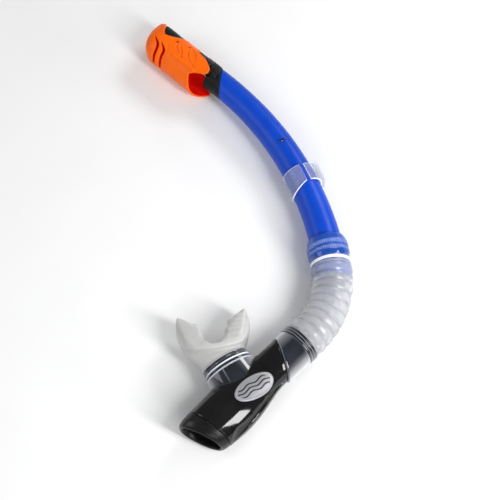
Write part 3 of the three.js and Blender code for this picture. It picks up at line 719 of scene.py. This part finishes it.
# Lines on the guard's front, as [x, y] with y from the guard's foot.
CLAW_SLITS = (
    [[-9.2, 75.2], [-12.7, 68.6], [-15.7, 64.9], [-20, 63.2], [-23.2, 63], [-26, 63.1]],
    [[-11, 64.6], [-14.8, 58], [-17.5, 55.8], [-21.3, 55.5], [-26, 54.4]],
)
CLAW_GROOVE = [[-8.6, 58.1], [-13.2, 53.9], [-19.1, 52.2], [-22.6, 50.5], [-26, 49.2]]
SIDE_RIDGE = [[-15, 46], [-14.6, 38], [-14.3, 30], [-14.1, 20]]
LEAVES = (
    [[-0.6, 52], [-6.4, 49], [-9.4, 41.9], [-11.3, 37]],
    [[-2.6, 47.5], [-5.4, 43.2], [-10.2, 38.6]],
    [[-1, 38.6], [-7.3, 33.2], [-10.6, 26], [-11.8, 20.5]],
    [[3, 37.8], [-0.2, 31], [-5.1, 26.2]],
)
DRAIN_HOLES = ([-0.6, 53.7], [3.3, 41.5])
DRAIN_HOLE_RADIUS = 2.1
SLIT_HALF_WIDTH, SLIT_LOWEST = 1.5, -2


def slit_gap(x, y, corners):
    """Distance to a slit that comes to a point at its first corner."""
    distance, share = line_distance(x, y, smooth_line(corners))
    return distance - SLIT_HALF_WIDTH * np.clip(share / 0.4, 0, 1)**0.7


def hole_gap(x, y, centre):
    """Distance to a three-cornered drain hole."""
    turns = np.radians([100, 220, 340])
    corners = np.stack([np.cos(turns), np.sin(turns)], 1) * DRAIN_HOLE_RADIUS
    return outline_distance(x, y, np.asarray(centre) + corners)


def make_splash_guard():
    wall, edge_round = 1.8, 0.55
    bead_height, bead_place, bead_reach = 0.45, 1.1, 0.9
    grid = guard_grid()
    x, y, z = axes(grid)
    edge = np.minimum(rim_gap(grid), window_gap(grid))
    spare = edge
    for corners in CLAW_SLITS:
        spare = np.minimum(spare, np.maximum(slit_gap(x, y, corners), SLIT_LOWEST - z))
    for centre in DRAIN_HOLES:
        spare = np.minimum(spare, np.where(z > 0, hole_gap(x, y, centre), FAR))
    lift = bead_height * bump(edge - bead_place, bead_reach)
    lift += moulded_line(x, y, SIDE_RIDGE, 1.3, 1)
    lift += moulded_line(x, y, CLAW_GROOVE, -0.45, 0.6)
    for leaf in LEAVES:
        lift += moulded_line(x, y, leaf, 0.35, 1.7) + moulded_line(x, y, leaf, -1.2, 0.65)
    return shifted(trimmed_shell(grid, spare, wall, edge_round, lift), BARREL_TOP)


def make_guard_core():
    guard = guard_grid()
    window_edge, spine_foot = 0.45, 13
    window = -window_gap(guard) - window_edge
    spine = trimmed_shell(guard, np.minimum(window, guard[..., 1] - spine_foot), 2, 0.5, -0.25)
    return shifted(joined(*core_neck(), spine, *spine_bars(guard)), BARREL_TOP)


def core_neck():
    """The neck between the barrel and the guard, and the raised pad on it."""
    neck = round_grid(np.arange(-12, 25, 0.5), CORE_NECK_RADIUS)
    x, y, z = axes(neck)
    flare = BARREL_HIGH_RADIUS - CORE_NECK_RADIUS + 0.9 * np.clip((y + 2) / 14, 0, 1)
    seam = oblique_gap(x, y + SEAM_DROP - GAP, 0, SEAM_SLOPE)
    end = 10 + 0.8 * np.clip(x + 7, 0, 16) - y
    tube = trimmed_shell(neck, np.minimum(seam, end), 2.2, 0.4, flare)
    outline = rounded([[-5.2, 1.6], [4.4, 2.4], [3.6, 12.4], [-5.4, 11.6]], 1.2)
    pad = -outline_distance(x, y, outline)
    lift = flare + 1.1 + pad_ribs(x, y, pad)
    return tube, trimmed_shell(neck, np.where(z > 0, pad, -FAR), 1, 0.5, lift)


def pad_ribs(x, y, pad):
    """Zigzag ribs that fade out near the pad's edge."""
    pitch, depth, border = 1.6, 0.9, 0.6
    zigzag = 0.5 * np.abs((x + 8) % 4 - 2)
    saw = np.abs(((y - zigzag) / pitch) % 1 - 0.5) - 0.25
    return depth * np.clip(saw * 3, -0.3, 0.5) * np.clip(pad - border, 0, 1)


def spine_bars(guard):
    """Two dark raised bars along the spine, where the guard clips on."""
    half = 3.2
    x, y, z = axes(guard)
    for low, high in ([14.5, 31], [56, 70]):
        outline = rounded([[low, -half], [high, -half], [high, half], [low, half]], 1.5)
        spare = np.where(x > GUARD_MIDDLE, -outline_distance(y, z, outline), -FAR)
        yield trimmed_shell(guard, spare, 1, 0.5, 1.0)


# ---- barrel and keeper

def barrel_radius(along):
    """The barrel tapers from the hose's top to the taper's end."""
    length = BARREL_TAPER_END - HOSE_TOP
    taper = (BARREL_LOW_RADIUS - BARREL_HIGH_RADIUS) / length
    return BARREL_LOW_RADIUS - taper * np.clip(along - HOSE_TOP, 0, length)


def make_barrel():
    foot_rows = np.arange(BARREL_FOOT - 1, BARREL_FOOT + 2, 0.3)
    seam_foot = 272
    middle_rows = np.arange(BARREL_FOOT + 2, seam_foot, 1.5)
    seam_rows = np.arange(seam_foot, seam_foot + 26, 0.4)
    along = np.concatenate([foot_rows, middle_rows, seam_rows])
    room_to_bend = 0.9 * np.clip((COLLAR_BOTTOM - along) / 2, 0, 1)
    grid = round_grid(along, barrel_radius(along) - room_to_bend, 144)
    x, y, _ = axes(grid)
    seam = -oblique_gap(x, y, BARREL_TOP - SEAM_DROP - GAP, SEAM_SLOPE)
    tube = trimmed_shell(grid, np.minimum(y - BARREL_FOOT, seam), 1.8, 0.35)
    return joined(tube, barrel_lug())


def barrel_lug():
    """The small locating lug across the barrel."""
    centre, half_length, half_width, half_height, sunk = 192.8, 1.3, 4, 1.8, 0.7
    steps = np.linspace(-1, 1, 9)
    reach = np.sqrt(1 - 0.75 * steps**4)
    along = centre + half_length * steps
    grid = oval_grid(along, 0, half_width * reach, half_height * reach, 2.6, columns=32)
    grid[..., 2] += barrel_radius(centre) - sunk
    # Finish 2 is the lug's painted shade.
    return finished(capped(grid), 2)


def make_keeper():
    wall, slant, slant_length = 1.5, 6, 1.09
    slot_middle, slot_half = 82, 7
    outer = KEEPER_BORE + wall
    grid = round_grid(np.arange(-16, 10, 0.4), outer, 160)
    x, y, z = axes(grid)
    lower = y + KEEPER_HALF - slant * np.minimum(0, x / KEEPER_BORE)
    angle = np.degrees(np.arctan2(z, x))
    slot = outer * np.radians(np.abs(angle - slot_middle) - slot_half)
    spare = np.minimum(np.minimum(KEEPER_HALF - y, lower / slant_length), slot)
    rib, _ = line_distance(x, y, np.array([[1.5, 4.5], [-8, -2.5], [-13.6, -11]]))
    lift = np.where(z > 0, 0.4 * bump(rib, 0.5), 0) + 0.25 * bump(spare - 0.5, 0.5)
    # Faces within 0.6 mm of the edge take finish 2, a painted highlight.
    band = trimmed_shell(grid, spare, wall, 0.5, lift, 0.6)
    return shifted(joined(band, strap_loop()), KEEPER_CENTRE)


def strap_loop():
    """The square loop on the keeper's right that the mask's strap goes through."""
    inner, outer, half, thickness, steps = 12.6, 17.2, 8, 1.3, 5
    corners = [[inner, half], [outer, half], [outer, -half], [inner, -half]]
    bends = rounded(corners, 1.8, steps)[steps + 1:-steps - 1]
    path = np.vstack([corners[:1], bends, corners[-1:]])
    return strip(path, thickness, -KEEPER_HALF, KEEPER_HALF)


# ---- collar and hose

def over_barrel(part, low, high):
    """Gives finish 1 to a clear piece's bore, where the barrel shows through. The pieces paint it
    as a lightened view of the barrel.
    """
    bore_radius = 14.9
    points, faces, finishes = part
    x, y, z = face_middles(part).T
    bore = (np.hypot(x, z) < bore_radius) & (y > low) & (y < high)
    return points, faces, np.where(bore, 1, finishes).tolist()


def collar_outline():
    """The collar's section, as [radius, y]."""
    low, top, wide = COLLAR_BOTTOM, COLLAR_TOP, COLLAR_RADIUS
    return rounded([
        [16.6, low], [17.1, low + 0.6], [17.1, low + 3], [16.6, low + 3.6], [16.8, low + 8],
        [wide, low + 8.8], [wide, low + 12], [wide - 0.7, low + 12.5], [wide - 0.7, low + 13.1],
        [wide, low + 13.6], [wide, top - 6], [16.3, top - 1], [15.7, top], [14.4, top],
        [14.4, low + 4], [15.7, low + 3], [15.7, low],
    ], 0.5, 3)


def knurl_height(radius, y, angle):
    """The height of the fine knurls, in two bands around the collar."""
    height, level = 0.2, y - COLLAR_BOTTOM
    bands = bump(level - 10.4, 1.7) + bump(level - 16, 2.2)
    return np.where(radius > 17, height * bands * np.cos(KNURLS * angle), 0)


def knurl_crests(part):
    """Gives finish 3, the knurls' painted blue light, to the crests of the knurls and to ticks on
    the collar's foot.
    """
    points, faces, finishes = part
    x, y, z = face_middles(part).T
    level = y - COLLAR_BOTTOM
    bands = (np.abs(level - 10) < 1) | (np.abs(level - 15.2) < 1.1) | (np.abs(level - 4) < 0.3)
    crests = (np.cos(KNURLS * np.arctan2(z, x)) > 0.1) & (np.hypot(x, z) > 16.4)
    return points, faces, np.where(bands & crests, 3, finishes).tolist()


def make_upper_collar():
    outline = collar_outline()
    # The foot's rows take finish 2, a painted highlight.
    foot = (outline[:, 1] < COLLAR_BOTTOM + 1.5) & (outline[:, 0] > 16.5)
    part = knurl_crests(lathe(outline, 576, knurl_height, foot))
    return over_barrel(part, COLLAR_BOTTOM + 4, COLLAR_TOP)


def hose_rings():
    """The hose's outside: nine rings that overlap like shingles, as [radius, y]."""
    start, end, rings = -5.7, 64.7, 9
    pitch = (end - start) / rings
    outline = []
    for number in range(rings):
        foot = start + number * pitch
        outline += [[15.4, foot], [16.7, foot + pitch * 0.25], [17.3, foot + pitch * 0.6],
                    [17.2, foot + pitch * 0.9]]
    return outline


def make_hose():
    """Outside, cuffs and bore, as [radius, y]. The bore has rows along its length."""
    outside = [
        [16.7, -7.7], [16.5, -6.4], *hose_rings(), [16.2, 64.9], [16.9, 65.7], [16.9, 67.7],
    ]
    top_cuff = [[15.5, 67.7], [15.5, 70], [14.6, 70], [14.6, 62]]
    inside = [[14.3, 54 - 6 * step] for step in range(10)]
    low_cuff = [[12.4, -6], [12.4, -22], [14.4, -22], [14.4, -7.7]]
    part = lathe(rounded([*outside, *top_cuff, *inside, *low_cuff], 0.55, 4), 144)
    return over_barrel(part, 55, 70)


def make_lower_ring():
    top, bottom, pitch = -8, -15, 2.4
    crest_levels = [top - 0.3 - number * pitch for number in range(3)]
    ribs = []
    for y in crest_levels:
        ribs += [[17.4, y], [17.4, y - 1.3], [16.7, y - 1.6], [16.7, y - 2.1]]
    outline = [[16.6, top], *ribs[:-2], [17.3, bottom], [14.8, bottom], [14.8, top]]
    outline = rounded(outline, 0.3, 3)
    # The crest rows take finish 2, a painted highlight.
    crests = near_any(outline[:, 1], crest_levels, 0.16) & (outline[:, 0] > 16)
    return lathe(outline, bright=crests)


# ---- chamber

def chamber_grid(low, high, step=0.7, columns=240):
    """The shell's outer surface, from rows of [y, middle, half width, half height]."""
    form = np.array([
        [-120, -0.4, 19, 16.8], [-114, -0.2, 19.6, 17.2], [-100, 0.1, 20.7, 18],
        [-90, 0.3, 21, 18.2], [-80, 0.3, 20.5, 18], [-70, 0.3, 19.2, 17.4],
        [-60, 0, 17.4, 16.4], [-50, -0.6, 16, 15.8], [-40, -0.8, 15.5, 15.6],
        [-12, -0.6, 16.1, 15.9],
    ])
    along = np.arange(low, high, step)
    middle, wide, high_at = (smooth_curve(form[:, 0], form[:, i], along) for i in (1, 2, 3))
    return oval_grid(along, middle, wide, high_at, 2.2, columns=columns)


def port_gap(grid, grow):
    """Distance to the port's oval, negative inside it."""
    x, y, z = axes(grid)
    y = y - PORT_FOOT
    across = x * math.cos(PORT_TURN) + y * math.sin(PORT_TURN) - PORT_SHIFT
    along = y * math.cos(PORT_TURN) - x * math.sin(PORT_TURN)
    gap = oval_gap(across, z, PORT_WIDE + grow, PORT_HIGH + grow)
    return np.where(along > 0, gap, FAR)


def flute_depth(x, y, z):
    """The finger flute: a channel along the shell's right flank, between two ribs."""
    depth, fade = 1.7, 8
    angle = np.degrees(np.arctan2(z, x))
    upper = smooth_curve([-104, -98, -88, -75, -61, -52, -43], [24, 34, 33, 35, 35, 25, 13], y)
    lower = smooth_curve([-104, -90, -70, -43], [4, 10, 14, 11], y)
    share = np.clip((angle - lower) / (upper - lower), 0, 1)
    ends = np.clip((y + 106) / fade, 0, 1) * np.clip((-41 - y) / fade, 0, 1)
    return depth * np.sin(math.pi * share)**0.6 * ends


def make_chamber_shell():
    grid = chamber_grid(-116, -14)
    x, y, z = axes(grid)
    top = -oblique_gap(x, y, SHELL_TOP, SHELL_TOP_SLOPE)
    bottom = y - SHELL_BOTTOM - SHELL_BOTTOM_SLOPE * x
    port = port_gap(grid, 6.3)
    spare = np.minimum(np.minimum(top, bottom), port)
    lift = 0.5 * bump(port - 1.2, 1.2) + 0.25 * bump(top - 0.9, 0.8) - flute_depth(x, y, z)
    return trimmed_shell(grid, spare, 2, 0.6, lift)


def oval_profile(rows, bright_levels=()):
    """A closed ring from rows of [y, middle, half width, half height, slope]."""
    edge_round = bright_reach = 0.45
    line = rounded(rows, edge_round, 3)
    bright = near_any(line[:, 0], bright_levels, bright_reach)
    return ring(oval_grid(*line[:, :4].T, slope=line[:, 4], columns=144), bright)


def port_rows(*pairs):
    """Rows of the port's oval, from pairs of [grow, y]."""
    return [[y, PORT_SHIFT, PORT_WIDE + grow, PORT_HIGH + grow, 0] for grow, y in pairs]


def chamber_neck():
    """The round clear neck between the shell and the lower ring."""
    neck = round_grid(np.arange(-46, -13, 0.5), NECK_RADIUS, 160)
    x, y, _ = axes(neck)
    above_shell = oblique_gap(x, y, SHELL_TOP + 0.5, SHELL_TOP_SLOPE)
    return trimmed_shell(neck, np.minimum(above_shell, NECK_TOP - y), 2.2, 0.5)


def chamber_liner():
    """The chamber's own wall, under the shell."""
    grid = chamber_grid(-108, -33, 2, 96)
    y = grid[..., 1]
    return trimmed_shell(grid, np.minimum(y + 106, -36 - y), 4.1, 0.4, -2.3)


def make_chamber_body():
    port_shape = port_rows([6, 4], [6, 24], [0, 24], [0, 32], [-1.8, 32], [-1.8, 4])
    # The port's row at y = 24 takes finish 2, a painted highlight.
    port = oval_profile(port_shape, [24])
    sleeve_shape = port_rows([4.4, 4], [4.4, 22.6], [-1, 22.6], [-1.6, 30], [-2, 4])
    sleeve = finished(oval_profile(sleeve_shape), 1)
    return joined(chamber_neck(), at_port(port), at_port(sleeve), chamber_liner())


def make_badge():
    """An oval plate with a raised border and three plain wave lines."""
    grid = chamber_grid(-100, -36, 0.4, 360)
    x, y, z = axes(grid)
    right, up = x - BADGE_X, y - BADGE_Y
    across = right * math.cos(BADGE_TURN) + up * math.sin(BADGE_TURN)
    along = up * math.cos(BADGE_TURN) - right * math.sin(BADGE_TURN)
    spare = np.where(z > 0, -oval_gap(across, along, BADGE_WIDE, BADGE_LONG), -FAR)
    # The negative thicknesses leave both sides of each sheet above the shell.
    sheets = [trimmed_shell(grid, spare, -0.3, 0.35, 1 + 0.3 * bump(spare - 0.9, 0.6))]
    half_width, border = 0.55, 2.6
    for place in (-3, 0, 3):
        off = np.abs(across - place - 0.7 * np.sin(along / 2))
        wave = np.minimum(half_width - off, spare - border)
        sheets.append(trimmed_shell(grid, wave, -0.9, 0.1, 1.12, FAR))
    return joined(*sheets)


def make_purge_cap():
    """The oblique oval cap, from rows of [y, middle, half width, half height, slope]."""
    middle, wide, high = -0.1, 19.9, 17.4
    rows = [
        [SHELL_BOTTOM - GAP, middle, wide, high, SHELL_BOTTOM_SLOPE],
        [-112.5, middle, wide - 0.2, high - 0.1, 0.18],
        [-116, 0.1, 19.4, 17, 0.3],
        [-119.4, 0.5, 18.4, 16.1, 0.36],
        [-121, 0.8, 16.9, 14.6, 0.36],
        [-120.6, 0.8, 15.6, 13.2, 0.36],
        [-118.4, 0.5, 15.1, 12.9, 0.34],
        [-114, 0, 14.9, 12.8, 0.25],
        [-104, 0, 13.8, 11.8, SHELL_BOTTOM_SLOPE],
        [-104, 0, 16, 13.4, SHELL_BOTTOM_SLOPE],
        [SHELL_BOTTOM + 0.3, middle, 16, 13.4, SHELL_BOTTOM_SLOPE],
        [SHELL_BOTTOM - GAP, middle, 17, 14.4, SHELL_BOTTOM_SLOPE],
    ]
    line = rounded(rows, 1.2, 4)
    return ring(oval_grid(*line[:, :4].T, 2.2, line[:, 4], 192))


# ---- mouthpiece

def make_mouthpiece_band():
    # The rows at 24.6, 28 and 33.2 take finish 2, a painted highlight.
    return at_port(oval_profile(port_rows(
        [4.2, 24.4], [4.8, 25], [4.8, 27.2], [4.1, 27.7], [4.1, 28.3], [4.8, 28.8],
        [4.8, 30.2], [4.2, 30.6], [4.2, 31.1], [4.6, 31.5], [4.5, 33], [4, 33.5],
        [2.5, 33.5], [2.5, 24.4],
    ), [24.6, 28, 33.2]))


MOUTH_LEAN = math.radians(-22.5)
MOUTH_FOOT = (-3, 35)

# The outline of one lobe, as [x, y] from the middle of the lip shield.
LOBE = [
    [3, 9], [4, 14], [8, 17], [8.6, 21.5], [9, 25.5], [13.6, 29.5], [18, 35.5], [24, 40],
    [27.5, 39.8], [28.6, 36], [28.2, 30], [25, 18], [20, 11], [12, 8.5],
]


def lobe_height(y):
    """Half the lobe's thickness, less towards its tip."""
    return 16 - 8 * np.clip((y - 10) / 30, 0, 1)


def leaned(part, side):
    """Carries one side's lobe to its place in the port's frame."""
    points, faces, finishes = part
    return turned((points * [side, 1, 1], faces, finishes), MOUTH_LEAN, MOUTH_FOOT)


def mouth_lobe():
    """One side of the lip shield with its bite tab, as a soft thick lobe."""
    outline = smooth_line(LOBE + LOBE[:1], 7)[:-1]
    ahead = unit(np.roll(outline, -1, 0) - np.roll(outline, 1, 0))
    inward = np.stack([ahead[:, 1], -ahead[:, 0]], 1)
    level = np.sin(np.linspace(-0.5, 0.5, 25) * math.pi)[:, None]
    edge_round = 3
    inset = edge_round * (1 - np.sqrt(np.maximum(1 - np.abs(level)**2.4, 0)))
    x = outline[:, 0] + inward[:, 0] * inset
    y = outline[:, 1] + inward[:, 1] * inset
    return capped(np.stack([x, y, level * lobe_height(y)], -1))


def tab_ribs():
    """Cross ribs that grip the teeth, each a flat oval through the lobe."""
    half_length, proud = 1.1, 1.2
    steps = np.linspace(-1, 1, 9)
    reach = np.sqrt(1 - 0.8 * steps**2)
    for y in np.arange(18.5, 37, 4.2):
        middle = smooth_curve([14, 25, 40], [15.5, 18, 24], y)
        wide = smooth_curve([14, 25, 40], [7.4, 7.8, 3], y) * reach
        high = (lobe_height(y) + proud) * reach
        yield capped(oval_grid(y + half_length * steps, middle, wide, high, 3, columns=48))


def make_mouthpiece():
    """The CAD's neck and lip shield with soft lobes, in axis coordinates."""
    cad = frame["nodes"]["mouthpiece"].data
    points = np.array([vertex.co for vertex in cad.vertices]) / MM
    east, north = points[:, 0] - FOOT_X, points[:, 1] - FOOT_Y
    right = east * math.sin(CHAMBER_HEADING) - north * math.cos(CHAMBER_HEADING)
    along = east * math.cos(CHAMBER_HEADING) + north * math.sin(CHAMBER_HEADING)
    faces = [list(face.vertices) for face in cad.polygons]
    neck = np.stack([right, along, points[:, 2] - AXIS_HEIGHT], 1), faces, [0] * len(faces)
    right = leaned(joined(mouth_lobe(), *tab_ribs()), 1)
    return joined(neck, at_port(right), at_port(leaned(mouth_lobe(), -1)))


def soften(shown, voxel, smoothing):
    """Gives a piece rounded moulded edges. voxel is the size of the skin's cells."""
    remesh = shown.modifiers.new("skin", "REMESH")
    remesh.mode = "VOXEL"
    remesh.voxel_size = voxel * MM
    remesh.use_smooth_shade = True
    smooth = shown.modifiers.new("round", "SMOOTH")
    smooth.factor = 0.5
    smooth.iterations = smoothing


def keep_largest_skin(shown):
    """Fixes the softened shape, without the bubbles between joined solids."""
    view = bpy.context.evaluated_depsgraph_get()
    mesh = bpy.data.meshes.new_from_object(shown.evaluated_get(view))
    work = bmesh.new()
    work.from_mesh(mesh)
    unseen = set(work.verts)
    largest = set()
    while unseen:
        skin = spread(unseen.pop(), unseen)
        largest = max(largest, skin, key=len)
    bubbles = [vertex for vertex in work.verts if vertex not in largest]
    bmesh.ops.delete(work, geom=bubbles, context="VERTS")
    work.to_mesh(mesh)
    work.free()
    mesh.shade_smooth()
    shown.modifiers.clear()
    shown.data = mesh


def spread(start, unseen):
    """All vertices joined to the start, which are taken out of the unseen ones."""
    skin = {start}
    ahead = [start]
    while ahead:
        vertex = ahead.pop()
        near = {edge.other_vert(vertex) for edge in vertex.link_edges} & unseen
        unseen -= near
        skin |= near
        ahead += near
    return skin


def finish_cad_node(node, material):
    """Shows a CAD node itself, with softened edges."""
    shown = frame["nodes"][node]
    soften(shown, voxel=0.5, smoothing=4)
    shown.data.materials.clear()
    shown.data.materials.append(material)


# ---- studio

def area_light(name, target, direction, distance, width, height, radiance):
    """A rectangular softbox that faces the target, distance away in a direction."""
    data = bpy.data.lights.new(name, "AREA")
    data.shape = "RECTANGLE"
    data.size = width
    data.size_y = height
    data.energy = radiance * math.pi * width * height
    lamp = add_object(name, data)
    offset = np.array(direction) / np.linalg.norm(direction) * distance
    lamp.location = np.array(target) + offset
    lamp.rotation_euler = Vector(offset).to_track_quat("Z", "Y").to_euler()


def add_floor():
    """The picture's floor, with its reach in metres."""
    mesh = bpy.data.meshes.new("floor")
    reach = 3
    corners = [(-reach, -reach, 0), (reach, -reach, 0), (reach, reach, 0), (-reach, reach, 0)]
    mesh.from_pydata(corners, [], [(0, 1, 2, 3)])
    finish = Finish("floor_paper", (0.86, 0.86, 0.86), 0.9)
    mesh.materials.append(finish.drift(0.01, 60).material)
    add_object("floor", mesh)


def add_studio():
    """A pale world and five softboxes."""
    scene = bpy.context.scene
    scene.view_settings.view_transform = "Standard"
    world = bpy.data.worlds.new("studio")
    world.use_nodes = True
    background = world.node_tree.nodes["Background"]
    background.inputs["Color"].default_value = (0.97, 0.98, 1, 1)
    background.inputs["Strength"].default_value = 0.3
    scene.world = world
    chamber = to_frame(np.array([[0, -70, 0]]))[0]
    middle = to_frame(np.array([[0, 150, 0]]))[0]
    area_light("key_box", chamber, (0.478, -0.294, 0.516), 0.78, 0.17, 0.5, 22)
    area_light("front_box", middle, (0.1, -0.8, 0.55), 1.5, 1.1, 0.7, 1.9)
    area_light("back_box", middle, (0.5, 0.6, 0.62), 1.0, 0.5, 0.24, 11)
    area_light("left_box", middle, (-0.9, 0.1, 0.5), 1.2, 0.8, 0.6, 2.4)
    area_light("right_strip", chamber, (0.95, 0.1, 0.28), 0.9, 0.5, 0.08, 9)


def add_camera():
    """Looks down from in front, as the photograph does."""
    elevation, distance = math.radians(62), 0.84
    target = MM * np.array([FOOT_X - 47.18, FOOT_Y + 77.6, AXIS_HEIGHT])
    data = bpy.data.cameras.new("camera")
    data.lens = 72
    data.sensor_width = 36
    camera = add_object("camera", data)
    camera.location = target + distance * np.array([0, -math.cos(elevation), math.sin(elevation)])
    camera.rotation_euler = (math.pi / 2 - elevation, 0, 0)
    bpy.context.scene.camera = camera


# ---- assembly

def build():
    """Adds the pieces from the top down, each with its materials by finish."""
    # red is the guard's painted inner shade and glow.
    orange, red, core = orange_plastic(), guard_inside_painted_shade_glow(), core_plastic()
    blue, black, satin = barrel_plastic(), shell_plastic(), cap_plastic()
    clear_ring = collar_plastic()
    clear_body = clear_body_painted_shade()
    clear_band = keeper_film()
    # edge is the painted highlight on the clear pieces' edges and bright rows.
    edge = painted_edge_highlight()
    shade_ring = painted_shade_ring()
    soft_hose = silicone("hose_silicone", (0.8, 0.81, 0.84), 0.18, 0.7)
    soft_mouth = silicone("mouth_silicone", (0.5, 0.5, 0.49), 0.3, 0)
    soft_valve = silicone("valve_silicone", (0.85, 0.86, 0.88), 0.4, 0.3)
    # dark is the inner faces' painted shade, and seen is a painted, lightened view of the barrel.
    dark, seen = painted_inner_shade(), painted_barrel_view()
    add_piece("splash_guard", make_splash_guard(), "barrel", [orange, red])
    add_piece("guard_core", make_guard_core(), "barrel", [core, core])
    add_piece("barrel", make_barrel(), "barrel", [blue, blue, lug_painted_shade()])
    keeper = [clear_band, clear_band, edge]
    add_piece("strap_keeper", make_keeper(), "keeper", keeper)
    collar = [clear_ring, seen, edge, knurl_painted_glow()]
    add_piece("upper_collar", make_upper_collar(), "collar", collar)
    hose = add_piece("flex_hose", make_hose(), None, [soft_hose, seen])
    bend = to_frame(np.array([[0, 0, 0], [0, HOSE_TOP, 0]]))
    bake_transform(hose)
    ribs = [shade_ring, shade_ring, ring_crest_highlight()]
    add_piece("lower_hose_ring", make_lower_ring(), "chamber", ribs)
    add_piece("chamber_body", make_chamber_body(), "chamber", [clear_body, dark, edge])
    add_piece("chamber_shell", make_chamber_shell(), "chamber", [black, dark])
    badge = [badge_metal(), black, badge_paint()]
    add_piece("badge_plate", make_badge(), "chamber", badge)
    add_piece("purge_cap", make_purge_cap(), "chamber", [satin])
    band = [shade_ring, shade_ring, edge]
    add_piece("mouthpiece_band", make_mouthpiece_band(), "chamber", band)
    mouthpiece = add_piece(
        "mouthpiece", make_mouthpiece(), "chamber", [soft_mouth])
    soften(mouthpiece, voxel=1.1, smoothing=2)
    keep_largest_skin(mouthpiece)
    soften(mouthpiece, voxel=0.6, smoothing=9)
    keep_largest_skin(mouthpiece)
    finish_cad_node("purge_valve_seat", satin)
    finish_cad_node("purge_valve", soft_valve)


build()
add_floor()
add_studio()
add_camera()
